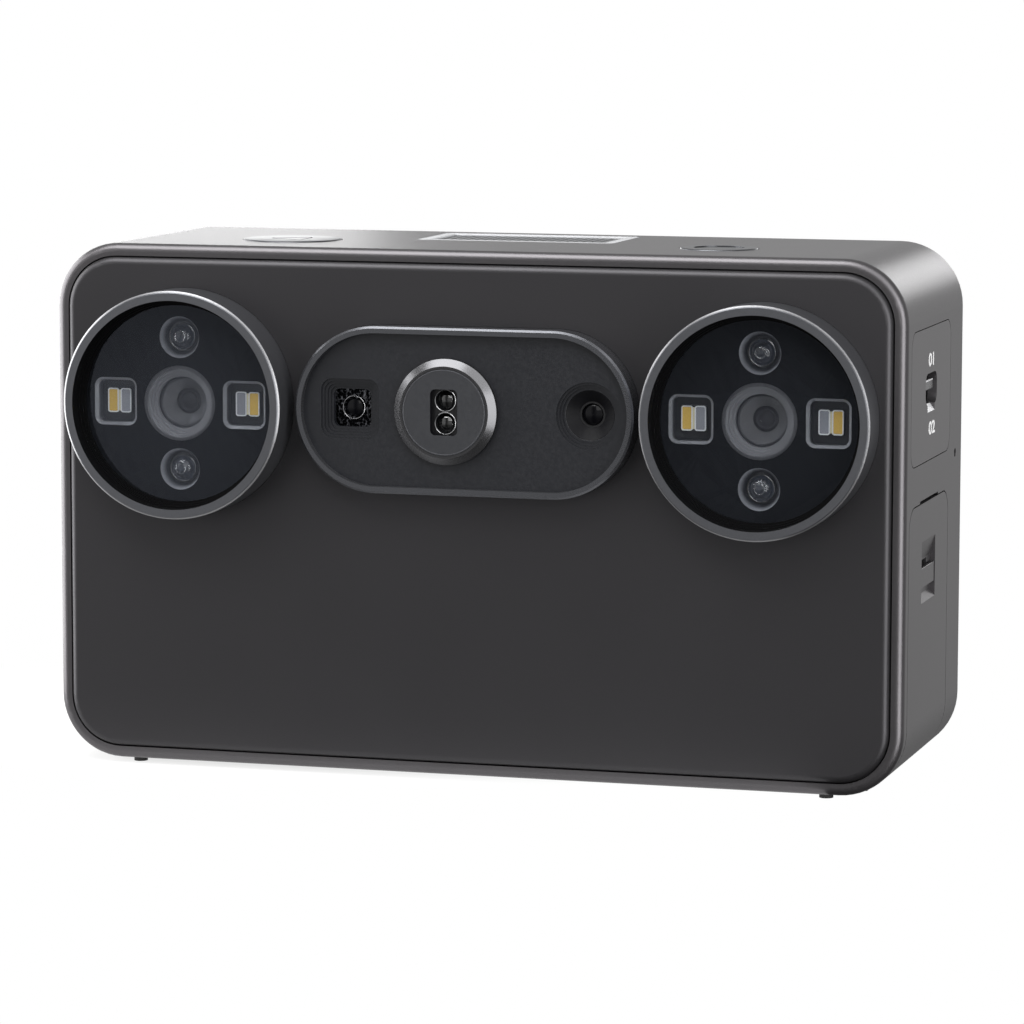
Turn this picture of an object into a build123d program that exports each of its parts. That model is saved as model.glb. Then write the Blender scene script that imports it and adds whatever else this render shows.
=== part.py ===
from build123d import *
import os

# A three-d scanner shaped like a wide camera: a metal frame with a dark front panel, two hooded lens clusters,
# a projector bar between them, buttons and a vent on top, a switch and a battery door on the right-hand end.
# Millimetres. +X is the right-hand end seen from the front, -Y is the side the lenses face, +Z is up.
# The origin lies on the surface that the feet stand on, under the middle of the overall width and depth.

# Casing frame
body_width = 150.0
body_height = 90.0
body_depth = 48.4
corner_radius = 11.0
wall = 3.2
rim_width = 2.1
rim_fillet = 1.4
rear_edge_chamfer = 0.4

# Clearances
fit_gap = 0.05  # a piece glued or pressed into its seat
seat_gap = 0.2  # a piece dropped into a larger seat
slide_gap = 0.3  # pieces that move past each other
overrun = 1.0  # how far a cut runs past what it cuts

# Feet
foot_height = 0.8
foot_radius = 1.2
foot_peg = 2.0
foot_side_inset = 13.6
foot_front_inset = 3.3

# Front panel
panel_thickness = 3.0
panel_proud = 0.9
panel_fillet = 1.2
panel_seam = 0.22

# Rear cover, its air slots and screws
rear_thickness = 2.4
rear_seam = 0.2
rear_slot_length_share = 0.1667  # of the casing's height
rear_slot_rise_share = 0.2  # of the casing's height
rear_slot_width = 2.0
rear_slot_spacing = 4.5
rear_slot_columns = 15
boss_radius = 3.5
boss_inset = 4.5
boss_length = 8.0
screw_head_radius = 2.1
screw_head_height = 1.3
screw_radius = 1.0
screw_length = 6.0
screw_socket_radius = 1.0
screw_socket_depth = 0.8

# Lens hoods, with a window seated behind a lip of fine steps
optics_drop = 26.94  # optical axes below the top of the casing
hood_reach = 8.6
hood_share = 0.13067  # of the casing's width
hood_side_margin = 4.35
hood_wall = 1.7
hood_edge_chamfer = 0.4
hood_step_in = 0.33
hood_step_depth = 0.6
hood_step_count = 3
window_recess = 4.2
window_ledge = 0.6
window_thickness = 0.7
flange_lip = 0.75
flange_thickness = 1.2

# Lens carriers, with their cups and pockets, as shares of the hood's radius
cup_offset_share = 0.5791
cup_share = 0.1837
cup_taper = 0.9
cup_depth = 2.2
pocket_offset_share = 0.597
pocket_width_share = 0.3929
pocket_height_share = 0.4235
pocket_corner = 1.6
pocket_bevel = 0.5
pocket_depth = 2.7

# Round lights
led_base_gap = 0.4
led_base_height = 0.5
led_dome_radius = 1.5
led_dome_rise = 1.2

# Square light packages, with two chips each
package_width = 4.4
package_height = 4.3
package_thickness = 0.6
chip_width = 1.7
chip_height = 3.7
chip_thickness = 0.25
chip_offset = 1.07

# Cameras behind the windows, the broad pieces as shares of the hood's radius
barrel_share = 0.3265
barrel_step_in = 0.475
barrel_step_depth = 0.4
barrel_step_count = 4
barrel_thread_step = 0.4
barrel_thread_length = 6.0
lens_recess = 2.7
lens_ledge = 0.3
lens_rise = 0.8
pupil_radius = 2.2
pupil_depth = 2.6
holder_share = 0.9184
holder_length = 7.0
camera_board_share = 1.2245
board_thickness = 1.2

# Chassis plate
chassis_thickness = 2.0
chassis_hole_gap = 0.6

# Projector bar
bezel_gap = 1.65  # from the hoods on each side
bezel_height = 28.4
bezel_wall = 1.15
bezel_reach = 5.3
bezel_edge_chamfer = 0.35
bezel_shoulder = 0.35
bar_recess = 1.4
bar_thickness = 2.6

# Projector, set off towards the left-hand end of the bar
projector_shift_share = 0.052  # of the bezel's length
ring_share = 0.151  # of the bezel's length
ring_chamfer_width = 1.2
ring_chamfer_depth = 0.9
ring_height = 1.9
ring_lip = 0.4
ring_tube_wall = 0.55
face_thickness = 1.2
aperture_width = 4.8
aperture_height = 7.8
aperture_corner = 0.9
projector_lens_radius = 1.75
projector_lens_spacing = 3.9
projector_lens_rise = 0.8
projector_lens_rim = 0.7
projector_block_margin = 3.2
projector_block_length = 13.0
module_gap = 0.9
projector_flange_lip = 2.0
projector_flange_thickness = 1.5

# Dot projector, behind a stepped square opening
dot_end_margin = 8.7
dot_opening_width = 10.3
dot_opening_height = 10.1
dot_opening_corner = 2.0
dot_step_in = 0.45
dot_step_depth = 0.34
dot_step_count = 4
dot_module_side = 10.6
dot_lens_radius = 1.55
dot_lens_ring = 0.45
dot_lens_height = 0.35

# Colour camera, behind a stepped round opening
colour_end_margin = 7.3
colour_opening_radius = 5.65
colour_step_in = 0.45
colour_step_depth = 0.35
colour_step_count = 3
colour_throat_radius = 2.3
colour_module_side = 10.0
colour_lens_radius = 1.85
colour_lens_rise = 0.5
colour_lens_rim = 0.4

# Buttons on top
button_setback_share = 0.3926  # of the casing's depth
button_offset_share = 0.25567  # of the casing's width
scan_radius = 8.6
power_radius = 6.7
power_dish_radius = 4.35
power_dish_depth = 0.2
button_proud = 0.2
button_edge_fillet = 0.3
button_gap = 0.15
button_flange_lip = 1.0
button_flange_thickness = 1.0
stem_radius = 1.6
stem_length = 1.4
press_travel = 0.8
switch_side = 6.0
switch_height = 3.4
plunger_radius = 1.7
plunger_height = 1.2
button_board_overhang = 8.0
button_board_gap = 4.7

# Vent on top
vent_width_share = 0.23733  # of the casing's width
vent_depth_share = 0.3967  # of the casing's depth
vent_setback_share = 0.5269  # of the casing's depth
vent_corner = 1.2
vent_border = 2.0
vent_ledge = 1.4
vent_frame_thickness = 0.9
vent_bevel = 0.15
mesh_thickness = 0.6
mesh_lap = 0.8
mesh_spacing = 1.5
mesh_hole = 1.0

# Switch panel and mode switch on the right-hand end
side_panel_setback = 4.0
side_panel_width_share = 0.6901  # of the casing's depth
side_panel_rise_share = 0.1111  # of the casing's height
side_panel_height_share = 0.25  # of the casing's height
side_panel_corner = 3.0
side_panel_thickness = 1.6
side_panel_seam = 0.15
mode_slot_width = 9.6
mode_slot_height = 5.4
mode_slot_rise = 0.75
mode_slot_corner = 1.8
mode_slot_slope = 1.2
knob_drop = 1.2
knob_height = 1.75
knob_side_gap = 1.2  # to the slot, clear of its round corners
knob_recess = 0.45
knob_edge_round = 0.15
mode_travel = 2.2
slider_lip = 1.6
slider_thickness = 1.0
mode_body_margin = 2.5
mode_body_floor = 1.5

# Reset switch behind a pinhole
pinhole_radius = 0.75
pinhole_setback_share = 0.8781  # of the casing's depth
pinhole_rise_share = 0.0978  # of the casing's height
reset_side = 3.6
reset_depth = 2.2

# Battery door, its hinge and its latch
door_setback = 3.4
door_width_share = 0.686  # of the casing's depth
door_rise_share = 0.0339  # of the casing's height
door_thickness = 2.2
door_gap = 0.2
door_corner = 4.0
hinge_inset = 10.8
hinge_rise = 1.5
hinge_to_door = 1.8
knuckle_radius = 1.4
knuckle_length = 5.0
knuckle_inset = 2.6
pin_radius = 0.6
pin_gap = 0.05
nail_notch_length = 15.5
nail_notch_height = 0.4
nail_notch_depth = 1.5
latch_drop = 6.5
latch_width = 11.6
latch_height = 10.5
latch_depth = 0.9
latch_ramp = 3.4
latch_lower_ramp = 1.2
latch_boss_depth = 1.2
latch_boss_margin = 1.6
latch_tab_height = 3.4
latch_tab_lift = 1.0
latch_tab_recess = 0.1
latch_travel = 1.2
latch_stem_width = 4.4
latch_stem_height = 2.4
bolt_width = 7.0
bolt_thickness = 1.2
bolt_drop = 0.4

# Battery and its tray
battery_length = 56.0
battery_depth = 26.0
battery_edge = 1.5
tray_wall = 1.2
tray_gap = 0.3
tray_headroom = 1.86
tray_mouth_inset = 8.0
contact_thickness = 1.0
contact_width = 3.0
contact_height = 12.0
contact_spacing = 7.0
contact_count = 3

# Main board and what it carries
main_board_rear_space = 16.0
main_board_side_gap = 3.8
main_board_height = 38.0
main_board_thickness = 1.6
standoff_radius = 2.2
standoff_inset = 3.5
module_offset_share = 0.2533  # of the casing's width
shield_width_share = 0.24  # of the casing's width
shield_height = 24.0
shield_thickness = 2.4
wireless_width = 18.0
wireless_height = 14.0
wireless_thickness = 2.2
sink_width = 30.0
sink_base_height = 24.0
sink_base_thickness = 2.0
sink_fin_depth = 10.0
sink_fin_thickness = 0.9
sink_fin_count = 9
sink_top_gap = 1.3

# Socket on the left-hand end
socket_drop = 8.0
socket_height = 8.9
socket_thickness = 3.2
socket_length = 8.6
socket_wall = 0.35
socket_bore_depth = 6.2
socket_tongue_height = 6.6
socket_tongue_thickness = 0.7
socket_recess = 0.4

# Tripod insert in the base, with a hole for a quarter inch camera screw
insert_radius = 4.5
insert_length = 9.0
tripod_hole_radius = 2.6
tripod_hole_length = 8.0
insert_boss_wall = 2.0
tripod_gap = 2.0

# Planes and places that the pieces share
overall_depth = body_depth + hood_reach
rim_y = hood_reach - overall_depth / 2
rear_y = rim_y + body_depth
side_x = body_width / 2
base_z = foot_height
mid_z = base_z + body_height / 2
top_z = base_z + body_height
optics_z = top_z - optics_drop
foot_x = side_x - foot_side_inset

panel_y = rim_y - panel_proud
panel_back_y = panel_y + panel_thickness
flange_back_y = panel_back_y + flange_thickness
chassis_back_y = flange_back_y + chassis_thickness
rear_cover_y = rear_y - rear_thickness
rear_slot_length = rear_slot_length_share * body_height
rear_slot_z = mid_z + rear_slot_rise_share * body_height

opening_width = body_width - 2 * rim_width
opening_height = body_height - 2 * rim_width
opening_radius = corner_radius - rim_width
cavity_width = body_width - 2 * wall
cavity_height = body_height - 2 * wall
cavity_radius = corner_radius - wall

hood_radius = hood_share * body_width
hood_bore_radius = hood_radius - hood_wall
cluster_x = side_x - hood_side_margin - hood_radius
hood_y = rim_y - hood_reach
window_y = hood_y + window_recess
carrier_y = window_y + window_thickness
hood_lip_radius = hood_bore_radius - hood_step_count * hood_step_in
window_radius = hood_lip_radius + window_ledge

cup_offset = cup_offset_share * hood_radius
cup_radius = cup_share * hood_radius
cup_floor_radius = cup_radius - cup_taper
led_base_radius = cup_floor_radius - led_base_gap
pocket_offset = pocket_offset_share * hood_radius
pocket_width = pocket_width_share * hood_radius
pocket_height = pocket_height_share * hood_radius

barrel_radius = barrel_share * hood_radius
barrel_thread_radius = barrel_radius - barrel_thread_step
holder_side = holder_share * hood_radius
camera_board_side = camera_board_share * hood_radius
lens_bore_radius = barrel_radius - barrel_step_count * barrel_step_in
lens_seat_y = carrier_y + lens_recess

bezel_length = 2 * (cluster_x - hood_radius - bezel_gap)
bezel_y = rim_y - bezel_reach
bar_y = bezel_y + bar_recess
bar_back_y = bar_y + bar_thickness
bar_length = bezel_length - 2 * bezel_wall + 2 * bezel_shoulder
bar_height = bezel_height - 2 * bezel_wall + 2 * bezel_shoulder
dot_x = dot_end_margin - bar_length / 2
colour_x = bar_length / 2 - colour_end_margin
projector_x = -projector_shift_share * bezel_length
projector_flange_width = 2 * (projector_x - dot_x - dot_module_side / 2 - module_gap)
projector_block_width = projector_flange_width - 2 * projector_flange_lip
projector_block_height = bezel_height - 2 * projector_block_margin
ring_radius = ring_share * bezel_length
ring_face_radius = ring_radius - ring_chamfer_width
ring_bore_radius = ring_face_radius - ring_lip
projector_y = bar_y - ring_height
projector_body_y = projector_y + face_thickness
ring_tube_radius = ring_bore_radius + ring_tube_wall

button_x = button_offset_share * body_width
button_y = rim_y + button_setback_share * body_depth
vent_width = vent_width_share * body_width
vent_depth = vent_depth_share * body_depth
vent_y = rim_y + vent_setback_share * body_depth + vent_depth / 2
button_shoulder_z = top_z - wall - slide_gap
stem_z = button_shoulder_z - button_flange_thickness - stem_length
plunger_z = stem_z - press_travel - slide_gap
switch_z = plunger_z - plunger_height
button_board_z = switch_z - switch_height

side_panel_width = side_panel_width_share * body_depth
side_panel_height = side_panel_height_share * body_height
side_panel_y = rim_y + side_panel_setback + side_panel_width / 2
side_panel_z = mid_z + side_panel_rise_share * body_height + side_panel_height / 2
pinhole_y = rim_y + pinhole_setback_share * body_depth
pinhole_z = mid_z + pinhole_rise_share * body_height
side_panel_back_x = side_x - side_panel_thickness
mode_slot_z = side_panel_z + mode_slot_rise
knob_z = mode_slot_z + mode_slot_height / 2 - knob_drop - knob_height / 2
knob_width = mode_slot_width - 2 * knob_side_gap
slider_width = knob_width + 2 * slider_lip
slider_height = knob_height + 2 * slider_lip
slider_x = side_panel_back_x - slide_gap
mode_cavity_width = slider_width + 2 * slide_gap
mode_cavity_top_z = knob_z + slider_height / 2 + slide_gap
mode_cavity_height = slider_height + mode_travel + 2 * slide_gap
mode_cavity_z = mode_cavity_top_z - mode_cavity_height / 2
mode_cavity_depth = slider_thickness + 2 * slide_gap
mode_body_width = mode_cavity_width + 2 * mode_body_margin
mode_body_height = mode_cavity_height + 2 * mode_body_margin

door_width = door_width_share * body_depth
door_front_y = rim_y + door_setback
door_rear_y = door_front_y + door_width
door_y = door_front_y + door_width / 2
door_top_z = mid_z + door_rise_share * body_height
hinge_x = side_x - hinge_inset
hinge_z = base_z + hinge_rise
door_end_x = hinge_x + hinge_to_door
latch_top_z = door_top_z - latch_drop
latch_bottom_z = latch_top_z - latch_height
latch_floor_x = side_x - latch_depth
latch_boss_x = side_x - door_thickness - latch_boss_depth
latch_tab_z = latch_bottom_z + latch_lower_ramp + latch_tab_lift + latch_tab_height / 2 + slide_gap

main_board_width = cavity_width - 2 * main_board_side_gap
main_board_y = rear_cover_y - main_board_rear_space
main_board_back_y = main_board_y + main_board_thickness
standoff_span_x = main_board_width - 2 * standoff_inset
standoff_span_z = main_board_height - 2 * standoff_inset
shield_width = shield_width_share * body_width
shield_x = -module_offset_share * body_width
wireless_x = module_offset_share * body_width
button_board_depth = main_board_y - chassis_back_y - button_board_gap

tray_top_z = optics_z - main_board_height / 2 - tray_headroom
tray_mouth_x = side_x - tray_mouth_inset
tray_length = battery_length + contact_thickness + tray_wall + tray_gap
tray_depth = battery_depth + 2 * tray_wall + 2 * tray_gap
tray_height = tray_top_z - base_z - wall
tray_y = chassis_back_y + tray_depth / 2
tray_z = base_z + wall + tray_height / 2
tray_end_x = tray_mouth_x - tray_length
battery_height = tray_height - 2 * tray_wall - 2 * tray_gap

socket_y = main_board_back_y + socket_thickness / 2
socket_z = optics_z - socket_drop
socket_x = -side_x + socket_recess
tripod_x = tray_end_x - tripod_gap - insert_radius - insert_boss_wall
tripod_y = rim_y + body_depth / 2

sides = ((-1, "left"), (1, "right"))
os.makedirs("parts", exist_ok=True)


def facing_front(y):
    """A sketch plane across the object at depth y: sketch x is X, sketch y is Z, and its normal points forward."""
    return Plane.XZ.offset(-y)


def axial_plane(x, z):
    """A sketch plane through an optical axis at (x, z): sketch x is the radius and sketch y is Y."""
    return Plane((x, 0, z))


def optical_axis(x, z):
    """The line along Y at (x, z) that round optical pieces are turned about."""
    return Axis((x, 0, z), (0, 1, 0))


def dome_middle(radius, rise):
    """The point half way out on a dome of this rim radius and rise, as (radius, drop from its top)."""
    sphere_radius = (radius**2 + rise**2) / (2 * rise)
    return radius / 2, sphere_radius - (sphere_radius**2 - (radius / 2) ** 2) ** 0.5


# Casing frame: one tube-like frame with a rim that the front panel sits inside, a seat for the rear cover, and
# the openings for the buttons, vent, side panel, door and socket
with BuildPart() as body_shell:
    with BuildSketch(facing_front(rim_y)):
        with Locations((0, mid_z)):
            RectangleRounded(body_width, body_height, corner_radius)
    extrude(amount=-body_depth)
    fillet(body_shell.faces().sort_by(Axis.Y)[0].edges(), rim_fillet)
    chamfer(body_shell.faces().sort_by(Axis.Y)[-1].edges(), rear_edge_chamfer)
    with BuildSketch(facing_front(rim_y)):
        with Locations((0, mid_z)):
            RectangleRounded(opening_width, opening_height, opening_radius)
    extrude(amount=-(panel_back_y - rim_y), mode=Mode.SUBTRACT)
    with BuildSketch(facing_front(rear_cover_y)):
        with Locations((0, mid_z)):
            RectangleRounded(opening_width, opening_height, opening_radius)
    extrude(amount=-rear_thickness, mode=Mode.SUBTRACT)
    with BuildSketch(facing_front(panel_back_y)):
        with Locations((0, mid_z)):
            RectangleRounded(cavity_width, cavity_height, cavity_radius)
    extrude(amount=-(rear_cover_y - panel_back_y), mode=Mode.SUBTRACT)
    # screw bosses in the four rear corners, and the tripod boss in the base
    with BuildSketch(facing_front(rear_cover_y)):
        with Locations((0, mid_z)):
            with GridLocations(cavity_width - 2 * boss_inset, cavity_height - 2 * boss_inset, 2, 2):
                Circle(boss_radius)
    extrude(amount=boss_length)
    with BuildSketch(facing_front(rear_cover_y)):
        with Locations((0, mid_z)):
            with GridLocations(cavity_width - 2 * boss_inset, cavity_height - 2 * boss_inset, 2, 2):
                Circle(screw_radius + fit_gap)
    extrude(amount=screw_length, mode=Mode.SUBTRACT)
    with BuildSketch(Plane.XY.offset(base_z + wall / 2)):
        with Locations((tripod_x, tripod_y)):
            Circle(insert_radius + insert_boss_wall)
    extrude(amount=insert_length - wall / 2)
    with BuildSketch(Plane.XY.offset(base_z)):
        with Locations((tripod_x, tripod_y)):
            Circle(insert_radius + fit_gap)
    extrude(amount=insert_length + overrun, mode=Mode.SUBTRACT)
    # holes for the feet
    with BuildSketch(Plane.XY.offset(base_z)):
        with Locations((0, rim_y + body_depth / 2)):
            with GridLocations(2 * foot_x, body_depth - 2 * foot_front_inset, 2, 2):
                Circle(foot_radius + fit_gap)
    extrude(amount=foot_peg, mode=Mode.SUBTRACT)
    # button holes, vent seat and vent opening through the top
    with BuildSketch(Plane.XY.offset(top_z)):
        with Locations((-button_x, button_y)):
            Circle(scan_radius + button_gap)
        with Locations((button_x, button_y)):
            Circle(power_radius + button_gap)
        with Locations((0, vent_y)):
            RectangleRounded(vent_width - 2 * vent_ledge, vent_depth - 2 * vent_ledge, vent_corner)
    extrude(amount=-(wall + overrun), mode=Mode.SUBTRACT)
    with BuildSketch(Plane.XY.offset(top_z)):
        with Locations((0, vent_y)):
            RectangleRounded(vent_width, vent_depth, vent_corner)
    extrude(amount=-vent_frame_thickness, mode=Mode.SUBTRACT)
    # side panel seat, the opening for the mode switch behind it, and the pinhole
    with BuildSketch(Plane.YZ.offset(side_x)):
        with Locations((side_panel_y, side_panel_z)):
            RectangleRounded(
                side_panel_width + 2 * side_panel_seam,
                side_panel_height + 2 * side_panel_seam,
                side_panel_corner + side_panel_seam,
            )
    extrude(amount=-side_panel_thickness, mode=Mode.SUBTRACT)
    with BuildSketch(Plane.YZ.offset(side_x)):
        with Locations((side_panel_y, mode_cavity_z)):
            Rectangle(mode_body_width + 2 * seat_gap, mode_body_height + 2 * seat_gap)
        with Locations((pinhole_y, pinhole_z)):
            Circle(pinhole_radius)
    extrude(amount=-(wall + overrun), mode=Mode.SUBTRACT)
    # socket opening in the left-hand end
    with BuildSketch(Plane.YZ.offset(-side_x)):
        with Locations((socket_y, socket_z)):
            SlotOverall(socket_height + 2 * seat_gap, socket_thickness + 2 * seat_gap, rotation=90)
    extrude(amount=wall + overrun, mode=Mode.SUBTRACT)
    # door opening, from its top edge round the lower corner to the hinge, with a notch for a fingernail above it
    with BuildSketch(Plane.YZ.offset(side_x)) as door_opening:
        with BuildLine():
            Polyline(
                (door_front_y - door_gap, base_z - overrun),
                (door_front_y - door_gap, door_top_z + door_gap),
                (door_rear_y + door_gap, door_top_z + door_gap),
                (door_rear_y + door_gap, base_z - overrun),
                close=True,
            )
        make_face()
        fillet(door_opening.vertices().group_by(Axis.Y)[-1], door_corner + door_gap)
    extrude(amount=-hinge_inset, mode=Mode.SUBTRACT)
    with BuildSketch(Plane.YZ.offset(side_x)):
        with Locations((door_y, door_top_z + door_gap)):
            Rectangle(nail_notch_length, nail_notch_height, align=(Align.CENTER, Align.MIN))
    extrude(amount=-nail_notch_depth, mode=Mode.SUBTRACT)
    # hinge: the frame's edge is rounded about the pin, with room for the door's two knuckles, and bored for the pin
    with BuildSketch(facing_front(door_front_y - door_gap)):
        with Locations((hinge_x, hinge_z)):
            Circle(knuckle_radius)
    extrude(amount=-(door_width + 2 * door_gap))
    for knuckle_y in (
        door_front_y + knuckle_inset - slide_gap,
        door_rear_y - knuckle_inset - knuckle_length - slide_gap,
    ):
        with BuildSketch(facing_front(knuckle_y)):
            with Locations((hinge_x, base_z)):
                Rectangle(2 * (hinge_rise + slide_gap), 2 * (wall + overrun))
        extrude(amount=-(knuckle_length + 2 * slide_gap), mode=Mode.SUBTRACT)
    with BuildSketch(facing_front(door_front_y)):
        with Locations((hinge_x, hinge_z)):
            Circle(pin_radius + pin_gap)
    extrude(amount=-door_width, mode=Mode.SUBTRACT)
body_shell.part.label = "body_shell"
export_step(body_shell.part, "parts/body_shell.step")

# Front panel: a flat plate that stands a little proud of the rim, with round shoulders and a seam all round
with BuildPart() as front_panel:
    with BuildSketch(facing_front(panel_y)):
        with Locations((0, mid_z)):
            RectangleRounded(
                opening_width - 2 * panel_seam,
                opening_height - 2 * panel_seam,
                opening_radius - panel_seam,
            )
    extrude(amount=-panel_thickness)
    fillet(front_panel.faces().sort_by(Axis.Y)[0].edges(), panel_fillet)
    with BuildSketch(facing_front(panel_y)):
        with Locations((-cluster_x, optics_z), (cluster_x, optics_z)):
            Circle(hood_radius + fit_gap)
        with Locations((0, optics_z)):
            SlotOverall(bezel_length + 2 * fit_gap, bezel_height + 2 * fit_gap)
    extrude(amount=-panel_thickness, mode=Mode.SUBTRACT)
front_panel.part.label = "front_panel"
export_step(front_panel.part, "parts/front_panel.step")

# Rear cover: a flat plate flush in the frame, with two rows of air slots and four counterbored screw holes
with BuildPart() as rear_cover:
    with BuildSketch(facing_front(rear_cover_y)):
        with Locations((0, mid_z)):
            RectangleRounded(
                opening_width - 2 * rear_seam,
                opening_height - 2 * rear_seam,
                opening_radius - rear_seam,
            )
    extrude(amount=-rear_thickness)
    with BuildSketch(facing_front(rear_cover_y)):
        with Locations((0, rear_slot_z)):
            with GridLocations(rear_slot_spacing, rear_slot_length + rear_slot_spacing, rear_slot_columns, 2):
                SlotOverall(rear_slot_length, rear_slot_width, rotation=90)
    extrude(amount=-rear_thickness, mode=Mode.SUBTRACT)
    with BuildSketch(facing_front(rear_cover_y)):
        with Locations((0, mid_z)):
            with GridLocations(cavity_width - 2 * boss_inset, cavity_height - 2 * boss_inset, 2, 2):
                Circle(screw_radius + fit_gap)
    extrude(amount=-rear_thickness, mode=Mode.SUBTRACT)
    with BuildSketch(facing_front(rear_y)):
        with Locations((0, mid_z)):
            with GridLocations(cavity_width - 2 * boss_inset, cavity_height - 2 * boss_inset, 2, 2):
                Circle(screw_head_radius + seat_gap)
    extrude(amount=screw_head_height, mode=Mode.SUBTRACT)
rear_cover.part.label = "rear_cover"
export_step(rear_cover.part, "parts/rear_cover.step")

# Rear screws: four socket screws whose heads lie flush in the rear cover
with BuildPart() as rear_screws:
    with BuildSketch(facing_front(rear_y)):
        with Locations((0, mid_z)):
            with GridLocations(cavity_width - 2 * boss_inset, cavity_height - 2 * boss_inset, 2, 2):
                Circle(screw_head_radius)
    extrude(amount=screw_head_height)
    with BuildSketch(facing_front(rear_y - screw_head_height)):
        with Locations((0, mid_z)):
            with GridLocations(cavity_width - 2 * boss_inset, cavity_height - 2 * boss_inset, 2, 2):
                Circle(screw_radius)
    extrude(amount=screw_length)
    with BuildSketch(facing_front(rear_y)):
        with Locations((0, mid_z)):
            with GridLocations(cavity_width - 2 * boss_inset, cavity_height - 2 * boss_inset, 2, 2):
                RegularPolygon(screw_socket_radius, 6)
    extrude(amount=screw_socket_depth, mode=Mode.SUBTRACT)
rear_screws.part.label = "rear_screws"
export_step(rear_screws.part, "parts/rear_screws.step")

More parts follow.
